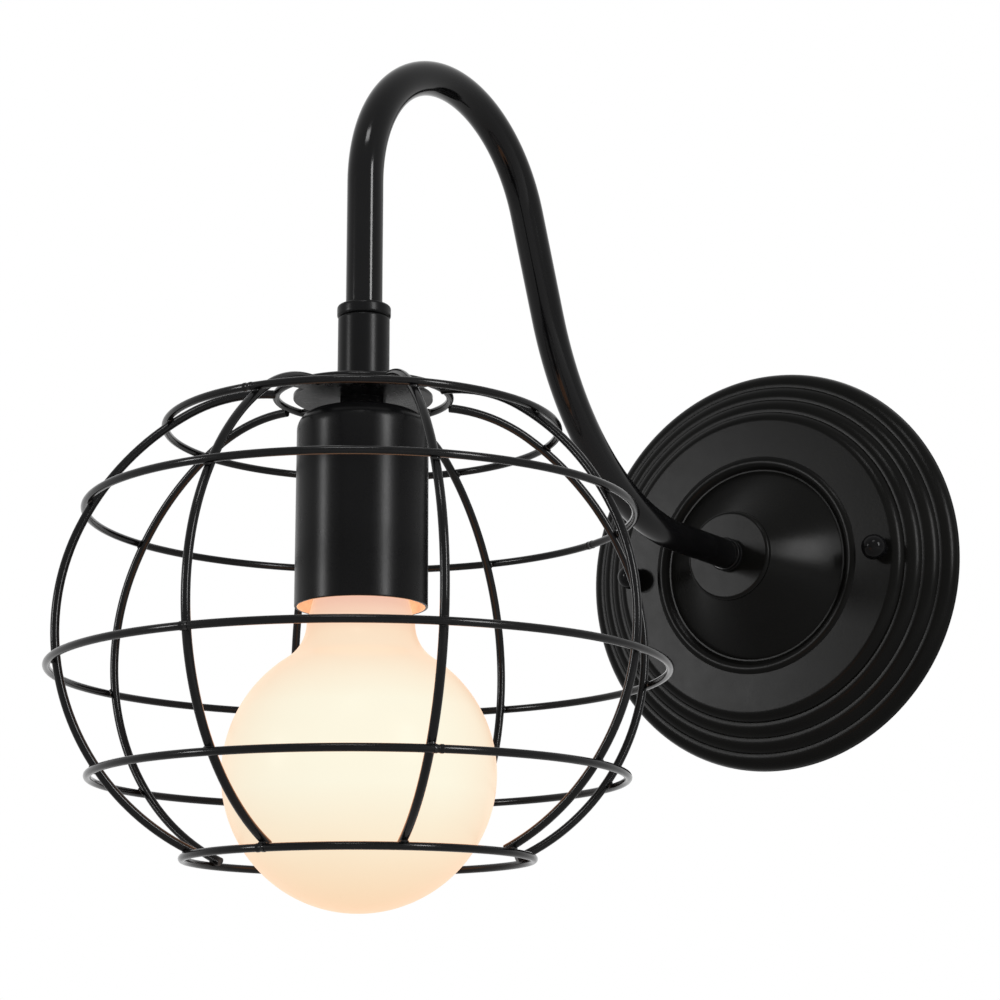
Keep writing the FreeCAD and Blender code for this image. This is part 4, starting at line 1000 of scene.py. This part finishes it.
CARRIED = {
    "Zinc Plate": ("mounting_bar", "canopy_studs", "root_nipple", "root_lock_washer", "root_nut",
                   "head_nipple", "cup_inner_nut", "terminal_screws"),
    "Turned Brass": ("terminal_inserts", "holder_terminals", "screw_shell", "centre_contact", "earth_tag",
                     "bulb_contact", "earth_screw"),
    "Glazed Porcelain": ("lampholder_cap", "lampholder_insert", "lampholder_barrel"),
    "Satin Black": ("cage_plate", "cage_lock_nut"),
    "Clear Glass": ("bulb_stem",),
    "Drawn Wire": ("bulb_filament",),
    "Black Base Glass": ("bulb_insulator",),
    "Pale Block": ("terminal_block",),
    "Brown Sheath": ("lead_live",),
    "Blue Sheath": ("lead_neutral",),
    "Green Sheath": ("earth_lead",),
}


def dress_carried():
    """Materials for the pieces of the frame that stay as they are."""
    for name, nodes in CARRIED.items():
        for node in nodes:
            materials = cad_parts[node].data.materials
            materials.clear()
            materials.append(finish(name))


# ---------------------------------------------------------------- stage

def pale_world(cut):
    """White to the eye and in reflections, and a plain soft light elsewhere."""
    world = bpy.data.worlds.new("Studio")
    bpy.context.scene.world = world
    world.use_nodes = True
    world.node_tree.nodes.clear()
    tree = Tree(world.node_tree)
    strength = tree.span(tree.seen(), 0.0, 1.0, cut.room_light, 1.0)
    back = tree.add("Background", {"Color": (1, 1, 1, 1), "Strength": strength})
    tree.add("OutputWorld", {"Surface": back.outputs[0]})


def pale_floor(cut):
    """A wide pale floor well below the light, which keeps a soft shadow and is clear from below."""
    mesh = bmesh.new()
    place = Matrix.Translation((0, 0, CAD_BOX[0].z - cut.floor_gap))
    bmesh.ops.create_grid(mesh, x_segments=8, y_segments=8, size=cut.floor_half, matrix=place)
    data = bpy.data.meshes.new("studio_floor")
    mesh.to_mesh(data)
    mesh.free()
    floor = bpy.data.objects.new("studio_floor", data)
    bpy.context.scene.collection.objects.link(floor)
    material, tree, shader = new_material("Pale Floor")
    tree.fill(shader.inputs, {"Base Color": rgba([cut.floor_tone] * 3), "Roughness": 0.9,
                              "Specular IOR Level": 0.0})
    flat = tree.vector("MULTIPLY", {0: tree.place(), 1: (1, 1, 0)})[0]
    away = tree.vector("LENGTH", {0: flat})["Value"]
    glow = tree.span(away, cut.floor_near, cut.floor_far, cut.floor_own_near, cut.floor_own_far)
    lit = tree.add("BsdfDiffuse", {"Color": rgba([cut.floor_seen] * 3)})
    own = tree.add("Emission", {"Color": (1, 1, 1, 1), "Strength": glow})
    both = tree.add("AddShader", {0: lit.outputs[0], 1: own.outputs[0]})
    above = tree.add("MixShader", {0: tree.seen(), 1: shader.outputs[0], 2: both.outputs[0]})
    through = tree.add("BsdfTransparent")
    below = tree.add("NewGeometry").outputs["Backfacing"]
    sided = tree.add("MixShader", {0: below, 1: above.outputs[0], 2: through.outputs[0]})
    output = next(node for node in material.node_tree.nodes if node.type == "OUTPUT_MATERIAL")
    tree.fill(output.inputs, {"Surface": sided.outputs[0]})
    data.materials.append(material)


Lamp = namedtuple("Lamp", "place size power")

LAMPS = {
    "left_strip": Lamp((-1.42, -2.36, 0.42), (0.34, 0.64), 27.5),
    "right_strip": Lamp((1.5, -0.62, 0.45), (0.28, 0.72), 21.6),
    "top_front": Lamp((0.55, -1.3, 1.35), (0.5, 0.24), 8.0),
}


def add_holder(name, data, place, turn):
    """Hangs a lamp or a camera at its place, turned by a quaternion."""
    holder = bpy.data.objects.new(name, data)
    bpy.context.scene.collection.objects.link(holder)
    holder.location = place
    holder.rotation_mode = "QUATERNION"
    holder.rotation_quaternion = turn
    return holder


def soft_lamp(name, lamp):
    """An oblong soft box that faces the middle of the light."""
    data = bpy.data.lights.new(name, "AREA")
    data.shape = "RECTANGLE"
    data.size, data.size_y = lamp.size
    data.energy = lamp.power
    middle = Vector((0, -REACH / 2, 0))
    add_holder(name, data, lamp.place, (middle - Vector(lamp.place)).to_track_quat("-Z", "Y"))


def make_camera(cut):
    camera = bpy.data.cameras.new("photo_camera")
    camera.lens = cut.lens
    camera.sensor_width = cut.sensor
    tilt = Matrix.Rotation(math.radians(90) + cut.camera_tilt, 4, "X")
    turn = (turned(cut.camera_turn) @ tilt @ turned(cut.camera_roll)).to_quaternion()
    bpy.context.scene.camera = add_holder("photo_camera", camera, cut.camera_place, turn)


# ---------------------------------------------------------------- operators

class WALLLIGHT_OT_stage(Operator):
    """Sets the floor, the world, the lamps and the camera"""
    bl_idname = "wall_light.stage"
    bl_label = "Set Stage"

    def execute(self, context):
        cut = settings("stage")
        context.scene.view_settings.view_transform = "Standard"
        pale_world(cut)
        pale_floor(cut)
        for name, lamp in LAMPS.items():
            soft_lamp(name, lamp)
        make_camera(cut)
        return {"FINISHED"}


class WALLLIGHT_OT_wall_plate(Operator):
    """Spins the wall plate and turns its ball nuts"""
    bl_idname = "wall_light.wall_plate"
    bl_label = "Wall Plate"

    def execute(self, context):
        make_wall_plate()
        make_cap_nuts()
        return {"FINISHED"}


class WALLLIGHT_OT_arm(Operator):
    """Bends the swan-neck tube and turns the pieces on it"""
    bl_idname = "wall_light.arm"
    bl_label = "Arm"

    def execute(self, context):
        make_arm()
        make_arm_fittings()
        make_root_collar()
        return {"FINISHED"}


class WALLLIGHT_OT_cage(Operator):
    """Bends the cage's wires and rings and marks their welds"""
    bl_idname = "wall_light.cage"
    bl_label = "Cage"

    def execute(self, context):
        lines = Meridian()
        make_ribs(lines)
        make_rings()
        make_weld_marks(lines)
        make_ring_seams()
        return {"FINISHED"}


class WALLLIGHT_OT_cup(Operator):
    """Draws the socket cup"""
    bl_idname = "wall_light.cup"
    bl_label = "Socket Cup"

    def execute(self, context):
        make_cup()
        return {"FINISHED"}


class WALLLIGHT_OT_bulb(Operator):
    """Blows the opal globe and rolls its screw shell"""
    bl_idname = "wall_light.bulb"
    bl_label = "Bulb"

    def execute(self, context):
        make_globe()
        make_screw_shell()
        return {"FINISHED"}


class WALLLIGHT_OT_fittings(Operator):
    """Gives the fittings, wiring and lampholder their finishes"""
    bl_idname = "wall_light.fittings"
    bl_label = "Fittings"

    def execute(self, context):
        dress_carried()
        return {"FINISHED"}


PIECES = (WALLLIGHT_OT_stage, WALLLIGHT_OT_wall_plate, WALLLIGHT_OT_arm, WALLLIGHT_OT_cage, WALLLIGHT_OT_cup,
          WALLLIGHT_OT_bulb, WALLLIGHT_OT_fittings)


class WALLLIGHT_PT_panel(Panel):
    """Lists the wall light's pieces and their settings"""
    bl_idname = "WALLLIGHT_PT_panel"
    bl_label = "Wall Light"
    bl_space_type = "VIEW_3D"
    bl_region_type = "UI"
    bl_category = "Wall Light"

    def draw(self, context):
        for piece in PIECES:
            self.layout.operator(piece.bl_idname)
        for name in SETTINGS:
            box = self.layout.box()
            box.label(text=name.title())
            for key in SETTINGS[name].__annotations__:
                box.prop(settings(name), key)


def register():
    for kind in (*SETTINGS.values(), *PIECES, WALLLIGHT_PT_panel):
        bpy.utils.register_class(kind)
    for name, kind in SETTINGS.items():
        setattr(bpy.types.Scene, "wall_light_" + name, bpy.props.PointerProperty(type=kind))


def unregister():
    for name in SETTINGS:
        delattr(bpy.types.Scene, "wall_light_" + name)
    for kind in reversed((*SETTINGS.values(), *PIECES, WALLLIGHT_PT_panel)):
        bpy.utils.unregister_class(kind)


def main():
    register()
    for piece in PIECES:
        call = getattr(bpy.ops.wall_light, piece.bl_idname.split(".")[1])
        call()


if __name__ == "__main__":
    main()
